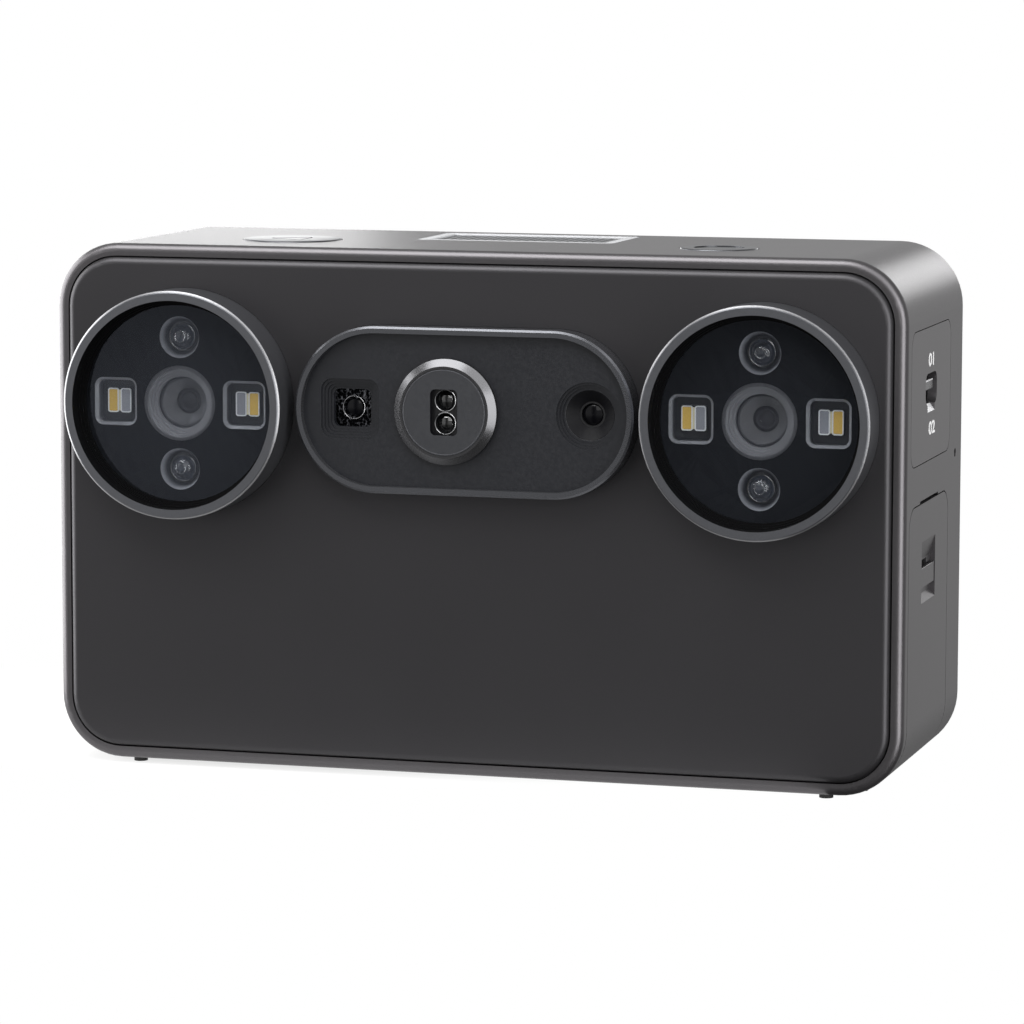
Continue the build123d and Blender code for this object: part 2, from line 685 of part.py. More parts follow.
# Lens clusters: the same hood, window, carrier and camera on each side
for side, side_name in sides:
    center_x = side * cluster_x

    # Hood: a turned ring through the front panel, held by a flange behind it, whose bore steps in to the window
    step_points = []
    for step in range(hood_step_count):
        step_y = window_y - (step + 1) * hood_step_depth
        step_points.append((hood_lip_radius + step * hood_step_in, step_y))
        step_points.append((hood_lip_radius + (step + 1) * hood_step_in, step_y))
    with BuildPart() as lens_hood:
        with BuildSketch(axial_plane(center_x, optics_z)):
            with BuildLine():
                Polyline(
                    (hood_bore_radius, hood_y),
                    (hood_radius - hood_edge_chamfer, hood_y),
                    (hood_radius, hood_y + hood_edge_chamfer),
                    (hood_radius, panel_back_y),
                    (hood_radius + flange_lip, panel_back_y),
                    (hood_radius + flange_lip, flange_back_y),
                    (window_radius, flange_back_y),
                    (window_radius, window_y),
                    (hood_lip_radius, window_y),
                    *step_points,
                    close=True,
                )
            make_face()
        revolve(axis=optical_axis(center_x, optics_z))
    lens_hood.part.label = f"{side_name}_lens_hood"
    export_step(lens_hood.part, f"parts/{side_name}_lens_hood.step")

    # Window: a flat glass disc against the hood's lip
    with BuildPart() as lens_window:
        with BuildSketch(facing_front(window_y)):
            with Locations((center_x, optics_z)):
                Circle(window_radius - fit_gap)
        extrude(amount=-window_thickness)
    lens_window.part.label = f"{side_name}_lens_window"
    export_step(lens_window.part, f"parts/{side_name}_lens_window.step")

    # Carrier: a dark block behind the window, with a bore for the camera, two cups and two bevelled pockets
    with BuildPart() as lens_carrier:
        with BuildSketch(facing_front(carrier_y)):
            with Locations((center_x, optics_z)):
                Circle(window_radius - fit_gap)
                Circle(barrel_radius + fit_gap, mode=Mode.SUBTRACT)
        extrude(amount=-(flange_back_y - carrier_y))
        for cup_z in (optics_z - cup_offset, optics_z + cup_offset):
            with BuildSketch(axial_plane(center_x, cup_z)):
                with BuildLine():
                    Polyline(
                        (0, carrier_y),
                        (cup_radius, carrier_y),
                        (cup_floor_radius, carrier_y + cup_depth),
                        (0, carrier_y + cup_depth),
                        close=True,
                    )
                make_face()
            revolve(axis=optical_axis(center_x, cup_z), mode=Mode.SUBTRACT)
        for pocket_x in (center_x - pocket_offset, center_x + pocket_offset):
            with BuildSketch(facing_front(carrier_y)):
                with Locations((pocket_x, optics_z)):
                    RectangleRounded(pocket_width, pocket_height, pocket_corner)
            with BuildSketch(facing_front(carrier_y + pocket_bevel)):
                with Locations((pocket_x, optics_z)):
                    RectangleRounded(
                        pocket_width - 2 * pocket_bevel,
                        pocket_height - 2 * pocket_bevel,
                        pocket_corner - pocket_bevel,
                    )
            loft(mode=Mode.SUBTRACT)
            with BuildSketch(facing_front(carrier_y)):
                with Locations((pocket_x, optics_z)):
                    RectangleRounded(
                        pocket_width - 2 * pocket_bevel,
                        pocket_height - 2 * pocket_bevel,
                        pocket_corner - pocket_bevel,
                    )
            extrude(amount=-pocket_depth, mode=Mode.SUBTRACT)
    lens_carrier.part.label = f"{side_name}_lens_carrier"
    export_step(lens_carrier.part, f"parts/{side_name}_lens_carrier.step")

    # Camera barrel: a turned barrel whose mouth steps in to the lens, with a cone behind it down to the pupil
    barrel_points = []
    for step in range(barrel_step_count):
        step_radius = barrel_radius - (step + 1) * barrel_step_in
        barrel_points.append((step_radius, carrier_y + step * barrel_step_depth))
        barrel_points.append((step_radius, carrier_y + (step + 1) * barrel_step_depth))
    with BuildPart() as camera_barrel:
        with BuildSketch(axial_plane(center_x, optics_z)):
            with BuildLine():
                Polyline(
                    (barrel_radius, carrier_y),
                    *barrel_points[:-1],
                    (lens_bore_radius, lens_seat_y),
                    (lens_bore_radius - lens_ledge, lens_seat_y),
                    (pupil_radius, lens_seat_y + pupil_depth),
                    (0, lens_seat_y + pupil_depth),
                    (0, flange_back_y + barrel_thread_length),
                    (barrel_thread_radius, flange_back_y + barrel_thread_length),
                    (barrel_thread_radius, flange_back_y),
                    (barrel_radius, flange_back_y),
                    close=True,
                )
            make_face()
        revolve(axis=optical_axis(center_x, optics_z))
    camera_barrel.part.label = f"{side_name}_camera_barrel"
    export_step(camera_barrel.part, f"parts/{side_name}_camera_barrel.step")

    # Camera lens: a domed glass element on the ledge inside the barrel
    lens_radius = lens_bore_radius - fit_gap
    lens_edge_y = carrier_y + barrel_step_count * barrel_step_depth + lens_rise / 2
    lens_middle, lens_drop = dome_middle(lens_radius, lens_rise)
    with BuildPart() as camera_lens:
        with BuildSketch(axial_plane(center_x, optics_z)):
            with BuildLine():
                ThreePointArc(
                    (0, lens_edge_y - lens_rise),
                    (lens_middle, lens_edge_y - lens_rise + lens_drop),
                    (lens_radius, lens_edge_y),
                )
                Polyline(
                    (lens_radius, lens_edge_y),
                    (lens_radius, lens_seat_y),
                    (0, lens_seat_y),
                    (0, lens_edge_y - lens_rise),
                )
            make_face()
        revolve(axis=optical_axis(center_x, optics_z))
    camera_lens.part.label = f"{side_name}_camera_lens"
    export_step(camera_lens.part, f"parts/{side_name}_camera_lens.step")

    # Lens holder: a square block on the back of the chassis that the barrel screws into
    with BuildPart() as lens_holder:
        with BuildSketch(facing_front(chassis_back_y)):
            with Locations((center_x, optics_z)):
                Rectangle(holder_side, holder_side)
                Circle(barrel_thread_radius + fit_gap, mode=Mode.SUBTRACT)
        extrude(amount=-holder_length)
    lens_holder.part.label = f"{side_name}_lens_holder"
    export_step(lens_holder.part, f"parts/{side_name}_lens_holder.step")

    # Camera board: a square circuit board on the back of the holder
    with BuildPart() as camera_board:
        with BuildSketch(facing_front(chassis_back_y + holder_length)):
            with Locations((center_x, optics_z)):
                Rectangle(camera_board_side, camera_board_side)
        extrude(amount=-board_thickness)
    camera_board.part.label = f"{side_name}_camera_board"
    export_step(camera_board.part, f"parts/{side_name}_camera_board.step")

# Round lights: four domed lights on the floors of the cups
dome_half, dome_drop = dome_middle(led_dome_radius, led_dome_rise)
led_floor_y = carrier_y + cup_depth
led_base_y = led_floor_y - led_base_height
with BuildPart() as round_lights:
    for center_x in (-cluster_x, cluster_x):
        for led_z in (optics_z - cup_offset, optics_z + cup_offset):
            with BuildSketch(axial_plane(center_x, led_z)):
                with BuildLine():
                    ThreePointArc(
                        (0, led_base_y - led_dome_rise),
                        (dome_half, led_base_y - led_dome_rise + dome_drop),
                        (led_dome_radius, led_base_y),
                    )
                    Polyline(
                        (led_dome_radius, led_base_y),
                        (led_base_radius, led_base_y),
                        (led_base_radius, led_floor_y),
                        (0, led_floor_y),
                        (0, led_base_y - led_dome_rise),
                    )
                make_face()
            revolve(axis=optical_axis(center_x, led_z))
round_lights.part.label = "round_lights"
export_step(round_lights.part, "parts/round_lights.step")

# Square light packages: four flat packages on the pocket floors, each with a yellow chip on the side away from
# the camera and a clear chip on the side next to it
package_y = carrier_y + pocket_depth - package_thickness
package_places = []
yellow_places = []
clear_places = []
for side, side_name in sides:
    for outward in (-1, 1):
        package_x = side * cluster_x + outward * pocket_offset
        package_places.append((package_x, optics_z))
        yellow_places.append((package_x + outward * chip_offset, optics_z))
        clear_places.append((package_x - outward * chip_offset, optics_z))
with BuildPart() as light_packages:
    with BuildSketch(facing_front(package_y)):
        with Locations(*package_places):
            Rectangle(package_width, package_height)
    extrude(amount=-package_thickness)
light_packages.part.label = "light_packages"
export_step(light_packages.part, "parts/light_packages.step")
with BuildPart() as yellow_chips:
    with BuildSketch(facing_front(package_y)):
        with Locations(*yellow_places):
            Rectangle(chip_width, chip_height)
    extrude(amount=chip_thickness)
yellow_chips.part.label = "yellow_chips"
export_step(yellow_chips.part, "parts/yellow_chips.step")
with BuildPart() as clear_chips:
    with BuildSketch(facing_front(package_y)):
        with Locations(*clear_places):
            Rectangle(chip_width, chip_height)
    extrude(amount=chip_thickness)
clear_chips.part.label = "clear_chips"
export_step(clear_chips.part, "parts/clear_chips.step")

# Chassis: a plate across the casing that clamps the hoods, carriers and bezel, with posts for the main board
with BuildPart() as chassis:
    with BuildSketch(facing_front(flange_back_y)):
        with Locations((0, mid_z)):
            RectangleRounded(
                cavity_width - 2 * seat_gap,
                cavity_height - 2 * seat_gap,
                cavity_radius - seat_gap,
            )
        with Locations((-cluster_x, optics_z), (cluster_x, optics_z)):
            Circle(barrel_thread_radius + chassis_hole_gap, mode=Mode.SUBTRACT)
        with Locations((projector_x, optics_z)):
            Rectangle(
                projector_block_width + 2 * seat_gap,
                projector_block_height + 2 * seat_gap,
                mode=Mode.SUBTRACT,
            )
    extrude(amount=-chassis_thickness)
    with BuildSketch(facing_front(chassis_back_y)):
        with Locations((0, optics_z)):
            with GridLocations(standoff_span_x, standoff_span_z, 2, 2):
                Circle(standoff_radius)
    extrude(amount=-(main_board_y - chassis_back_y))
chassis.part.label = "chassis"
export_step(chassis.part, "parts/chassis.step")

# Projector bezel: a pill-shaped ring through the front panel, flanged behind it, with a shoulder for the bar panel
with BuildPart() as projector_bezel:
    with BuildSketch(facing_front(bezel_y)):
        with Locations((0, optics_z)):
            SlotOverall(bezel_length, bezel_height)
    extrude(amount=-(panel_back_y - bezel_y))
    chamfer(projector_bezel.faces().sort_by(Axis.Y)[0].edges(), bezel_edge_chamfer)
    with BuildSketch(facing_front(panel_back_y)):
        with Locations((0, optics_z)):
            SlotOverall(bezel_length + 2 * flange_lip, bezel_height + 2 * flange_lip)
    extrude(amount=-flange_thickness)
    with BuildSketch(facing_front(bezel_y)):
        with Locations((0, optics_z)):
            SlotOverall(bezel_length - 2 * bezel_wall, bezel_height - 2 * bezel_wall)
    extrude(amount=-bar_recess, mode=Mode.SUBTRACT)
    with BuildSketch(facing_front(bar_y)):
        with Locations((0, optics_z)):
            SlotOverall(bar_length, bar_height)
    extrude(amount=-(flange_back_y - bar_y), mode=Mode.SUBTRACT)
projector_bezel.part.label = "projector_bezel"
export_step(projector_bezel.part, "parts/projector_bezel.step")

# Bar panel: the dark panel inside the bezel, with a stepped square opening, a hole for the projector ring and a
# stepped round opening that narrows to a throat
colour_cone_radius = colour_opening_radius - colour_step_count * colour_step_in
colour_cone_y = bar_y + colour_step_count * colour_step_depth
with BuildPart() as bar_panel:
    with BuildSketch(facing_front(bar_y)):
        with Locations((0, optics_z)):
            SlotOverall(bar_length - 2 * fit_gap, bar_height - 2 * fit_gap)
        with Locations((projector_x, optics_z)):
            Circle(ring_tube_radius + fit_gap, mode=Mode.SUBTRACT)
    extrude(amount=-bar_thickness)
    for step in range(dot_step_count + 1):
        with BuildSketch(facing_front(bar_y)):
            with Locations((dot_x, optics_z)):
                RectangleRounded(
                    dot_opening_width - 2 * step * dot_step_in,
                    dot_opening_height - 2 * step * dot_step_in,
                    dot_opening_corner - step * dot_step_in / 2,
                )
        step_depth = (step + 1) * dot_step_depth if step < dot_step_count else bar_thickness
        extrude(amount=-step_depth, mode=Mode.SUBTRACT)
    for step in range(colour_step_count):
        with BuildSketch(facing_front(bar_y)):
            with Locations((colour_x, optics_z)):
                Circle(colour_opening_radius - step * colour_step_in)
        extrude(amount=-(step + 1) * colour_step_depth, mode=Mode.SUBTRACT)
    with BuildSketch(axial_plane(colour_x, optics_z)):
        with BuildLine():
            Polyline(
                (0, colour_cone_y),
                (colour_cone_radius, colour_cone_y),
                (colour_throat_radius, bar_back_y),
                (0, bar_back_y),
                close=True,
            )
        make_face()
    revolve(axis=optical_axis(colour_x, optics_z), mode=Mode.SUBTRACT)
bar_panel.part.label = "bar_panel"
export_step(bar_panel.part, "parts/bar_panel.step")

# Projector ring: a bright turned ring with a broad chamfer, and a tube through the bar panel
with BuildPart() as projector_ring:
    with BuildSketch(axial_plane(projector_x, optics_z)):
        with BuildLine():
            Polyline(
                (ring_bore_radius, projector_y),
                (ring_face_radius, projector_y),
                (ring_radius, projector_y + ring_chamfer_depth),
                (ring_radius, bar_y),
                (ring_tube_radius, bar_y),
                (ring_tube_radius, bar_back_y),
                (ring_bore_radius, bar_back_y),
                close=True,
            )
        make_face()
    revolve(axis=optical_axis(projector_x, optics_z))
projector_ring.part.label = "projector_ring"
export_step(projector_ring.part, "parts/projector_ring.step")

# Projector face: a flat disc in the ring, with the slot that the projector looks through
with BuildPart() as projector_face:
    with BuildSketch(facing_front(projector_y)):
        with Locations((projector_x, optics_z)):
            Circle(ring_bore_radius - fit_gap)
            RectangleRounded(aperture_width, aperture_height, aperture_corner, mode=Mode.SUBTRACT)
    extrude(amount=-face_thickness)
projector_face.part.label = "projector_face"
export_step(projector_face.part, "parts/projector_face.step")

# Projector body: a round nose inside the ring with two lens seats, and a block through the chassis with a flange
projector_lens_seat_y = projector_body_y + projector_lens_rise + projector_lens_rim
with BuildPart() as projector_body:
    with BuildSketch(facing_front(projector_body_y)):
        with Locations((projector_x, optics_z)):
            Circle(ring_bore_radius - fit_gap)
    extrude(amount=-(bar_back_y - projector_body_y))
    with BuildSketch(facing_front(bar_back_y)):
        with Locations((projector_x, optics_z)):
            Rectangle(projector_block_width, projector_block_height)
    extrude(amount=-(chassis_back_y + projector_block_length - bar_back_y))
    with BuildSketch(facing_front(flange_back_y)):
        with Locations((projector_x, optics_z)):
            Rectangle(projector_flange_width, projector_block_height + 2 * projector_flange_lip)
    extrude(amount=projector_flange_thickness)
    with BuildSketch(facing_front(projector_body_y)):
        with Locations((projector_x, optics_z)):
            with GridLocations(projector_lens_spacing, projector_lens_spacing, 1, 2):
                Circle(projector_lens_radius + fit_gap)
    extrude(amount=-(projector_lens_seat_y - projector_body_y), mode=Mode.SUBTRACT)
projector_body.part.label = "projector_body"
export_step(projector_body.part, "parts/projector_body.step")

# Projector lenses: two small domed lenses, one above the other
projector_half, projector_drop = dome_middle(projector_lens_radius, projector_lens_rise)
with BuildPart() as projector_lenses:
    for lens_z in (optics_z - projector_lens_spacing / 2, optics_z + projector_lens_spacing / 2):
        with BuildSketch(axial_plane(projector_x, lens_z)):
            with BuildLine():
                ThreePointArc(
                    (0, projector_body_y),
                    (projector_half, projector_body_y + projector_drop),
                    (projector_lens_radius, projector_body_y + projector_lens_rise),
                )
                Polyline(
                    (projector_lens_radius, projector_body_y + projector_lens_rise),
                    (projector_lens_radius, projector_lens_seat_y),
                    (0, projector_lens_seat_y),
                    (0, projector_body_y),
                )
            make_face()
        revolve(axis=optical_axis(projector_x, lens_z))
projector_lenses.part.label = "projector_lenses"
export_step(projector_lenses.part, "parts/projector_lenses.step")

# Dot projector: a square module between the bar panel and the chassis, with a raised lens ring and its lens
with BuildPart() as dot_projector:
    with BuildSketch(facing_front(bar_back_y)):
        with Locations((dot_x, optics_z)):
            Rectangle(dot_module_side, dot_module_side)
    extrude(amount=-(flange_back_y - bar_back_y))
    with BuildSketch(facing_front(bar_back_y)):
        with Locations((dot_x, optics_z)):
            Circle(dot_lens_radius + dot_lens_ring)
    extrude(amount=dot_lens_height)
    with BuildSketch(facing_front(bar_back_y - dot_lens_height)):
        with Locations((dot_x, optics_z)):
            Circle(dot_lens_radius + fit_gap)
    extrude(amount=-2 * dot_lens_height, mode=Mode.SUBTRACT)
dot_projector.part.label = "dot_projector"
export_step(dot_projector.part, "parts/dot_projector.step")
dot_half, dot_drop = dome_middle(dot_lens_radius, dot_lens_height)
with BuildPart() as dot_lens:
    with BuildSketch(axial_plane(dot_x, optics_z)):
        with BuildLine():
            ThreePointArc(
                (0, bar_back_y - dot_lens_height),
                (dot_half, bar_back_y - dot_lens_height + dot_drop),
                (dot_lens_radius, bar_back_y),
            )
            Polyline(
                (dot_lens_radius, bar_back_y),
                (dot_lens_radius, bar_back_y + dot_lens_height),
                (0, bar_back_y + dot_lens_height),
                (0, bar_back_y - dot_lens_height),
            )
        make_face()
    revolve(axis=optical_axis(dot_x, optics_z))
dot_lens.part.label = "dot_lens"
export_step(dot_lens.part, "parts/dot_lens.step")

# Colour camera: a square module between the bar panel and the chassis, with a small domed lens in the throat
colour_half, colour_drop = dome_middle(colour_lens_radius, colour_lens_rise)
with BuildPart() as colour_camera:
    with BuildSketch(facing_front(bar_back_y)):
        with Locations((colour_x, optics_z)):
            Rectangle(colour_module_side, colour_module_side)
    extrude(amount=-(flange_back_y - bar_back_y))
    with BuildSketch(facing_front(bar_back_y)):
        with Locations((colour_x, optics_z)):
            Circle(colour_lens_radius + fit_gap)
    extrude(amount=-(colour_lens_rise + colour_lens_rim), mode=Mode.SUBTRACT)
colour_camera.part.label = "colour_camera"
export_step(colour_camera.part, "parts/colour_camera.step")
with BuildPart() as colour_lens:
    with BuildSketch(axial_plane(colour_x, optics_z)):
        with BuildLine():
            ThreePointArc(
                (0, bar_back_y),
                (colour_half, bar_back_y + colour_drop),
                (colour_lens_radius, bar_back_y + colour_lens_rise),
            )
            Polyline(
                (colour_lens_radius, bar_back_y + colour_lens_rise),
                (colour_lens_radius, bar_back_y + colour_lens_rise + colour_lens_rim),
                (0, bar_back_y + colour_lens_rise + colour_lens_rim),
                (0, bar_back_y),
            )
        make_face()
    revolve(axis=optical_axis(colour_x, optics_z))
colour_lens.part.label = "colour_lens"
export_step(colour_lens.part, "parts/colour_lens.step")

# Buttons: round caps through the top, each with a flange under the wall and a stem over its push switch
for button_name, place_x, cap_radius in (
    ("scan_button", -button_x, scan_radius),
    ("power_button", button_x, power_radius),
):
    with BuildPart() as button:
        with BuildSketch(Plane.XY.offset(button_shoulder_z)):
            with Locations((place_x, button_y)):
                Circle(cap_radius)
        extrude(amount=top_z + button_proud - button_shoulder_z)
        fillet(button.faces().sort_by(Axis.Z)[-1].edges(), button_edge_fillet)
        if button_name == "power_button":
            # a round dish in the middle of the cap
            with BuildSketch(Plane.XY.offset(top_z + button_proud)):
                with Locations((place_x, button_y)):
                    Circle(power_dish_radius)
            extrude(amount=-power_dish_depth, mode=Mode.SUBTRACT)
        with BuildSketch(Plane.XY.offset(button_shoulder_z)):
            with Locations((place_x, button_y)):
                Circle(cap_radius + button_flange_lip)
        extrude(amount=-button_flange_thickness)
        with BuildSketch(Plane.XY.offset(stem_z)):
            with Locations((place_x, button_y)):
                Circle(stem_radius)
        extrude(amount=stem_length)
    button.part.label = button_name
    export_step(button.part, f"parts/{button_name}.step")

    # Push switch under the button, with the plunger that the stem presses
    with BuildPart() as push_switch:
        with BuildSketch(Plane.XY.offset(button_board_z)):
            with Locations((place_x, button_y)):
                Rectangle(switch_side, switch_side)
        extrude(amount=switch_height)
        with BuildSketch(Plane.XY.offset(switch_z)):
            with Locations((place_x, button_y)):
                Circle(plunger_radius)
        extrude(amount=plunger_height)
    push_switch.part.label = button_name.replace("button", "switch")
    export_step(push_switch.part, f"parts/{push_switch.part.label}.step")

# Button board: a circuit board across the casing, held at the back of the chassis
with BuildPart() as button_board:
    with BuildSketch(Plane.XY.offset(button_board_z)):
        with Locations((0, chassis_back_y)):
            Rectangle(
                2 * (button_x + button_board_overhang),
                button_board_depth,
                align=(Align.CENTER, Align.MIN),
            )
    extrude(amount=-board_thickness)
button_board.part.label = "button_board"
export_step(button_board.part, "parts/button_board.step")

# Vent frame: a flat border with a bevelled inner edge, on a ledge in the top
mesh_width = vent_width - 2 * vent_border + 2 * mesh_lap
mesh_depth = vent_depth - 2 * vent_border + 2 * mesh_lap
with BuildPart() as vent_frame:
    with BuildSketch(Plane.XY.offset(top_z)):
        with Locations((0, vent_y)):
            RectangleRounded(vent_width - 2 * fit_gap, vent_depth - 2 * fit_gap, vent_corner - fit_gap)
            Rectangle(
                vent_width - 2 * vent_border,
                vent_depth - 2 * vent_border,
                mode=Mode.SUBTRACT,
            )
    extrude(amount=-vent_frame_thickness)
    chamfer(vent_frame.faces().sort_by(Axis.Z)[-1].inner_wires().edges(), vent_bevel)
    with BuildSketch(Plane.XY.offset(top_z - vent_frame_thickness)):
        with Locations((0, vent_y)):
            Rectangle(mesh_width, mesh_depth)
    extrude(amount=mesh_thickness, mode=Mode.SUBTRACT)
vent_frame.part.label = "vent_frame"
export_step(vent_frame.part, "parts/vent_frame.step")

# Vent mesh: a thin plate full of square holes, in a rebate under the frame
mesh_columns = int((vent_width - 2 * vent_border) / mesh_spacing)
mesh_rows = int((vent_depth - 2 * vent_border) / mesh_spacing)
with BuildPart() as vent_mesh:
    with BuildSketch(Plane.XY.offset(top_z - vent_frame_thickness)):
        with Locations((0, vent_y)):
            Rectangle(mesh_width - 2 * fit_gap, mesh_depth - 2 * fit_gap)
            with GridLocations(mesh_spacing, mesh_spacing, mesh_columns, mesh_rows):
                Rectangle(mesh_hole, mesh_hole, mode=Mode.SUBTRACT)
    extrude(amount=mesh_thickness)
vent_mesh.part.label = "vent_mesh"
export_step(vent_mesh.part, "parts/vent_mesh.step")

# Switch panel: a flush panel in the right-hand end, with a slot whose lower end slopes outwards
mode_slot_bottom_z = mode_slot_z - mode_slot_height / 2
with BuildPart() as switch_panel:
    with BuildSketch(Plane.YZ.offset(side_x)):
        with Locations((side_panel_y, side_panel_z)):
            RectangleRounded(side_panel_width, side_panel_height, side_panel_corner)
        with Locations((side_panel_y, mode_slot_z)):
            RectangleRounded(mode_slot_width, mode_slot_height, mode_slot_corner, mode=Mode.SUBTRACT)
    extrude(amount=-side_panel_thickness)
    with BuildSketch(facing_front(side_panel_y - mode_slot_width / 2 + mode_slot_corner)):
        with BuildLine():
            Polyline(
                (side_panel_back_x, mode_slot_bottom_z),
                (side_x, mode_slot_bottom_z),
                (side_x, mode_slot_bottom_z - mode_slot_slope),
                close=True,
            )
        make_face()
    extrude(amount=-(mode_slot_width - 2 * mode_slot_corner), mode=Mode.SUBTRACT)
switch_panel.part.label = "switch_panel"
export_step(switch_panel.part, "parts/switch_panel.step")

# Mode switch knob: a bar in the slot on a slider behind the panel
with BuildPart() as mode_knob:
    with BuildSketch(Plane.YZ.offset(slider_x)):
        with Locations((side_panel_y, knob_z)):
            Rectangle(slider_width, slider_height)
    extrude(amount=-slider_thickness)
    with BuildSketch(Plane.YZ.offset(slider_x)):
        with Locations((side_panel_y, knob_z)):
            Rectangle(knob_width, knob_height)
    extrude(amount=side_x - knob_recess - slider_x)
    fillet(mode_knob.faces().sort_by(Axis.X)[-1].edges(), knob_edge_round)
mode_knob.part.label = "mode_knob"
export_step(mode_knob.part, "parts/mode_knob.step")

# Mode switch body: a housing on the back of the switch panel, with a track for the slider
with BuildPart() as mode_switch_body:
    with BuildSketch(Plane.YZ.offset(side_panel_back_x)):
        with Locations((side_panel_y, mode_cavity_z)):
            Rectangle(mode_body_width, mode_body_height)
    extrude(amount=-(mode_cavity_depth + mode_body_floor))
    with BuildSketch(Plane.YZ.offset(side_panel_back_x)):
        with Locations((side_panel_y, mode_cavity_z)):
            Rectangle(mode_cavity_width, mode_cavity_height)
    extrude(amount=-mode_cavity_depth, mode=Mode.SUBTRACT)
mode_switch_body.part.label = "mode_switch_body"
export_step(mode_switch_body.part, "parts/mode_switch_body.step")

# Reset switch: a small push switch on the inside of the wall, behind the pinhole
with BuildPart() as reset_switch:
    with BuildSketch(Plane.YZ.offset(side_x - wall)):
        with Locations((pinhole_y, pinhole_z)):
            Rectangle(reset_side, reset_side)
    extrude(amount=-reset_depth)
reset_switch.part.label = "reset_switch"
export_step(reset_switch.part, "parts/reset_switch.step")

# Battery door: a curved cover that continues the frame's surface round the lower corner, thicker behind its
# latch, with a ramped finger pocket and two knuckles at the hinge
with BuildPart() as battery_door:
    with BuildSketch(facing_front(door_front_y)):
        with Locations((0, mid_z)):
            RectangleRounded(body_width, body_height, corner_radius)
            RectangleRounded(
                body_width - 2 * door_thickness,
                body_height - 2 * door_thickness,
                corner_radius - door_thickness,
                mode=Mode.SUBTRACT,
            )
        with Locations((door_end_x, base_z)):
            Rectangle(
                side_x - door_end_x,
                door_top_z - base_z,
                align=(Align.MIN, Align.MIN),
                mode=Mode.INTERSECT,
            )
    extrude(amount=-door_width)
    with BuildSketch(Plane.YZ.offset(door_end_x)) as door_outline:
        with Locations((door_y, base_z)):
            Rectangle(door_width, door_top_z - base_z, align=(Align.CENTER, Align.MIN))
        fillet(door_outline.vertices().group_by(Axis.Y)[-1], door_corner)
    extrude(amount=side_x - door_end_x, mode=Mode.INTERSECT)
    with BuildSketch(Plane.YZ.offset(latch_boss_x)):
        with Locations((door_y, latch_bottom_z - latch_boss_margin)):
            Rectangle(
                latch_width + 2 * latch_boss_margin,
                latch_height + 2 * latch_boss_margin,
                align=(Align.CENTER, Align.MIN),
            )
    extrude(amount=latch_boss_depth)
    with BuildSketch(facing_front(door_y - latch_width / 2)):
        with BuildLine():
            Polyline(
                (side_x, latch_top_z),
                (latch_floor_x, latch_top_z - latch_ramp),
                (latch_floor_x, latch_bottom_z + latch_lower_ramp),
                (side_x, latch_bottom_z),
                close=True,
            )
        make_face()
    extrude(amount=-latch_width, mode=Mode.SUBTRACT)
    with BuildSketch(Plane.YZ.offset(latch_floor_x)):
        with Locations((door_y, latch_tab_z - latch_stem_height / 2 - slide_gap)):
            Rectangle(
                latch_stem_width + 2 * slide_gap,
                latch_stem_height + latch_travel + 2 * slide_gap,
                align=(Align.CENTER, Align.MIN),
            )
    extrude(amount=-(latch_floor_x - latch_boss_x), mode=Mode.SUBTRACT)
    for knuckle_y in (door_front_y + knuckle_inset, door_rear_y - knuckle_inset - knuckle_length):
        with BuildSketch(facing_front(knuckle_y)):
            with Locations((hinge_x, hinge_z)):
                Circle(knuckle_radius)
            with Locations((hinge_x, hinge_z - knuckle_radius)):
                Rectangle(2 * hinge_to_door, knuckle_radius, align=(Align.MIN, Align.MIN))
        extrude(amount=-knuckle_length)
    with BuildSketch(facing_front(door_front_y)):
        with Locations((hinge_x, hinge_z)):
            Circle(pin_radius + pin_gap)
    extrude(amount=-door_width, mode=Mode.SUBTRACT)
battery_door.part.label = "battery_door"
export_step(battery_door.part, "parts/battery_door.step")

# Hinge pin: a plain rod through the knuckles of the frame and the door
with BuildPart() as hinge_pin:
    with BuildSketch(facing_front(door_front_y)):
        with Locations((hinge_x, hinge_z)):
            Circle(pin_radius)
    extrude(amount=-door_width)
hinge_pin.part.label = "hinge_pin"
export_step(hinge_pin.part, "parts/hinge_pin.step")

# Door latch: a thumb tab in the pocket, joined by a stem to a bolt behind the door that slides up behind the wall
bolt_x = latch_boss_x - slide_gap
bolt_bottom_z = latch_tab_z - latch_stem_height / 2 - slide_gap - latch_boss_margin
with BuildPart() as door_latch:
    with BuildSketch(Plane.YZ.offset(latch_floor_x + slide_gap)):
        with Locations((door_y, latch_tab_z)):
            Rectangle(latch_width - 2 * slide_gap, latch_tab_height)
    extrude(amount=latch_depth - slide_gap - latch_tab_recess)
    fillet(door_latch.faces().sort_by(Axis.X)[-1].edges(), latch_tab_recess)
    with BuildSketch(Plane.YZ.offset(bolt_x)):
        with Locations((door_y, latch_tab_z)):
            Rectangle(latch_stem_width, latch_stem_height)
    extrude(amount=latch_floor_x + slide_gap - bolt_x)
    with BuildSketch(Plane.YZ.offset(bolt_x)):
        with Locations((door_y, bolt_bottom_z)):
            Rectangle(
                bolt_width,
                door_top_z - bolt_drop - bolt_bottom_z,
                align=(Align.CENTER, Align.MIN),
            )
    extrude(amount=-bolt_thickness)
door_latch.part.label = "door_latch"
export_step(door_latch.part, "parts/door_latch.step")

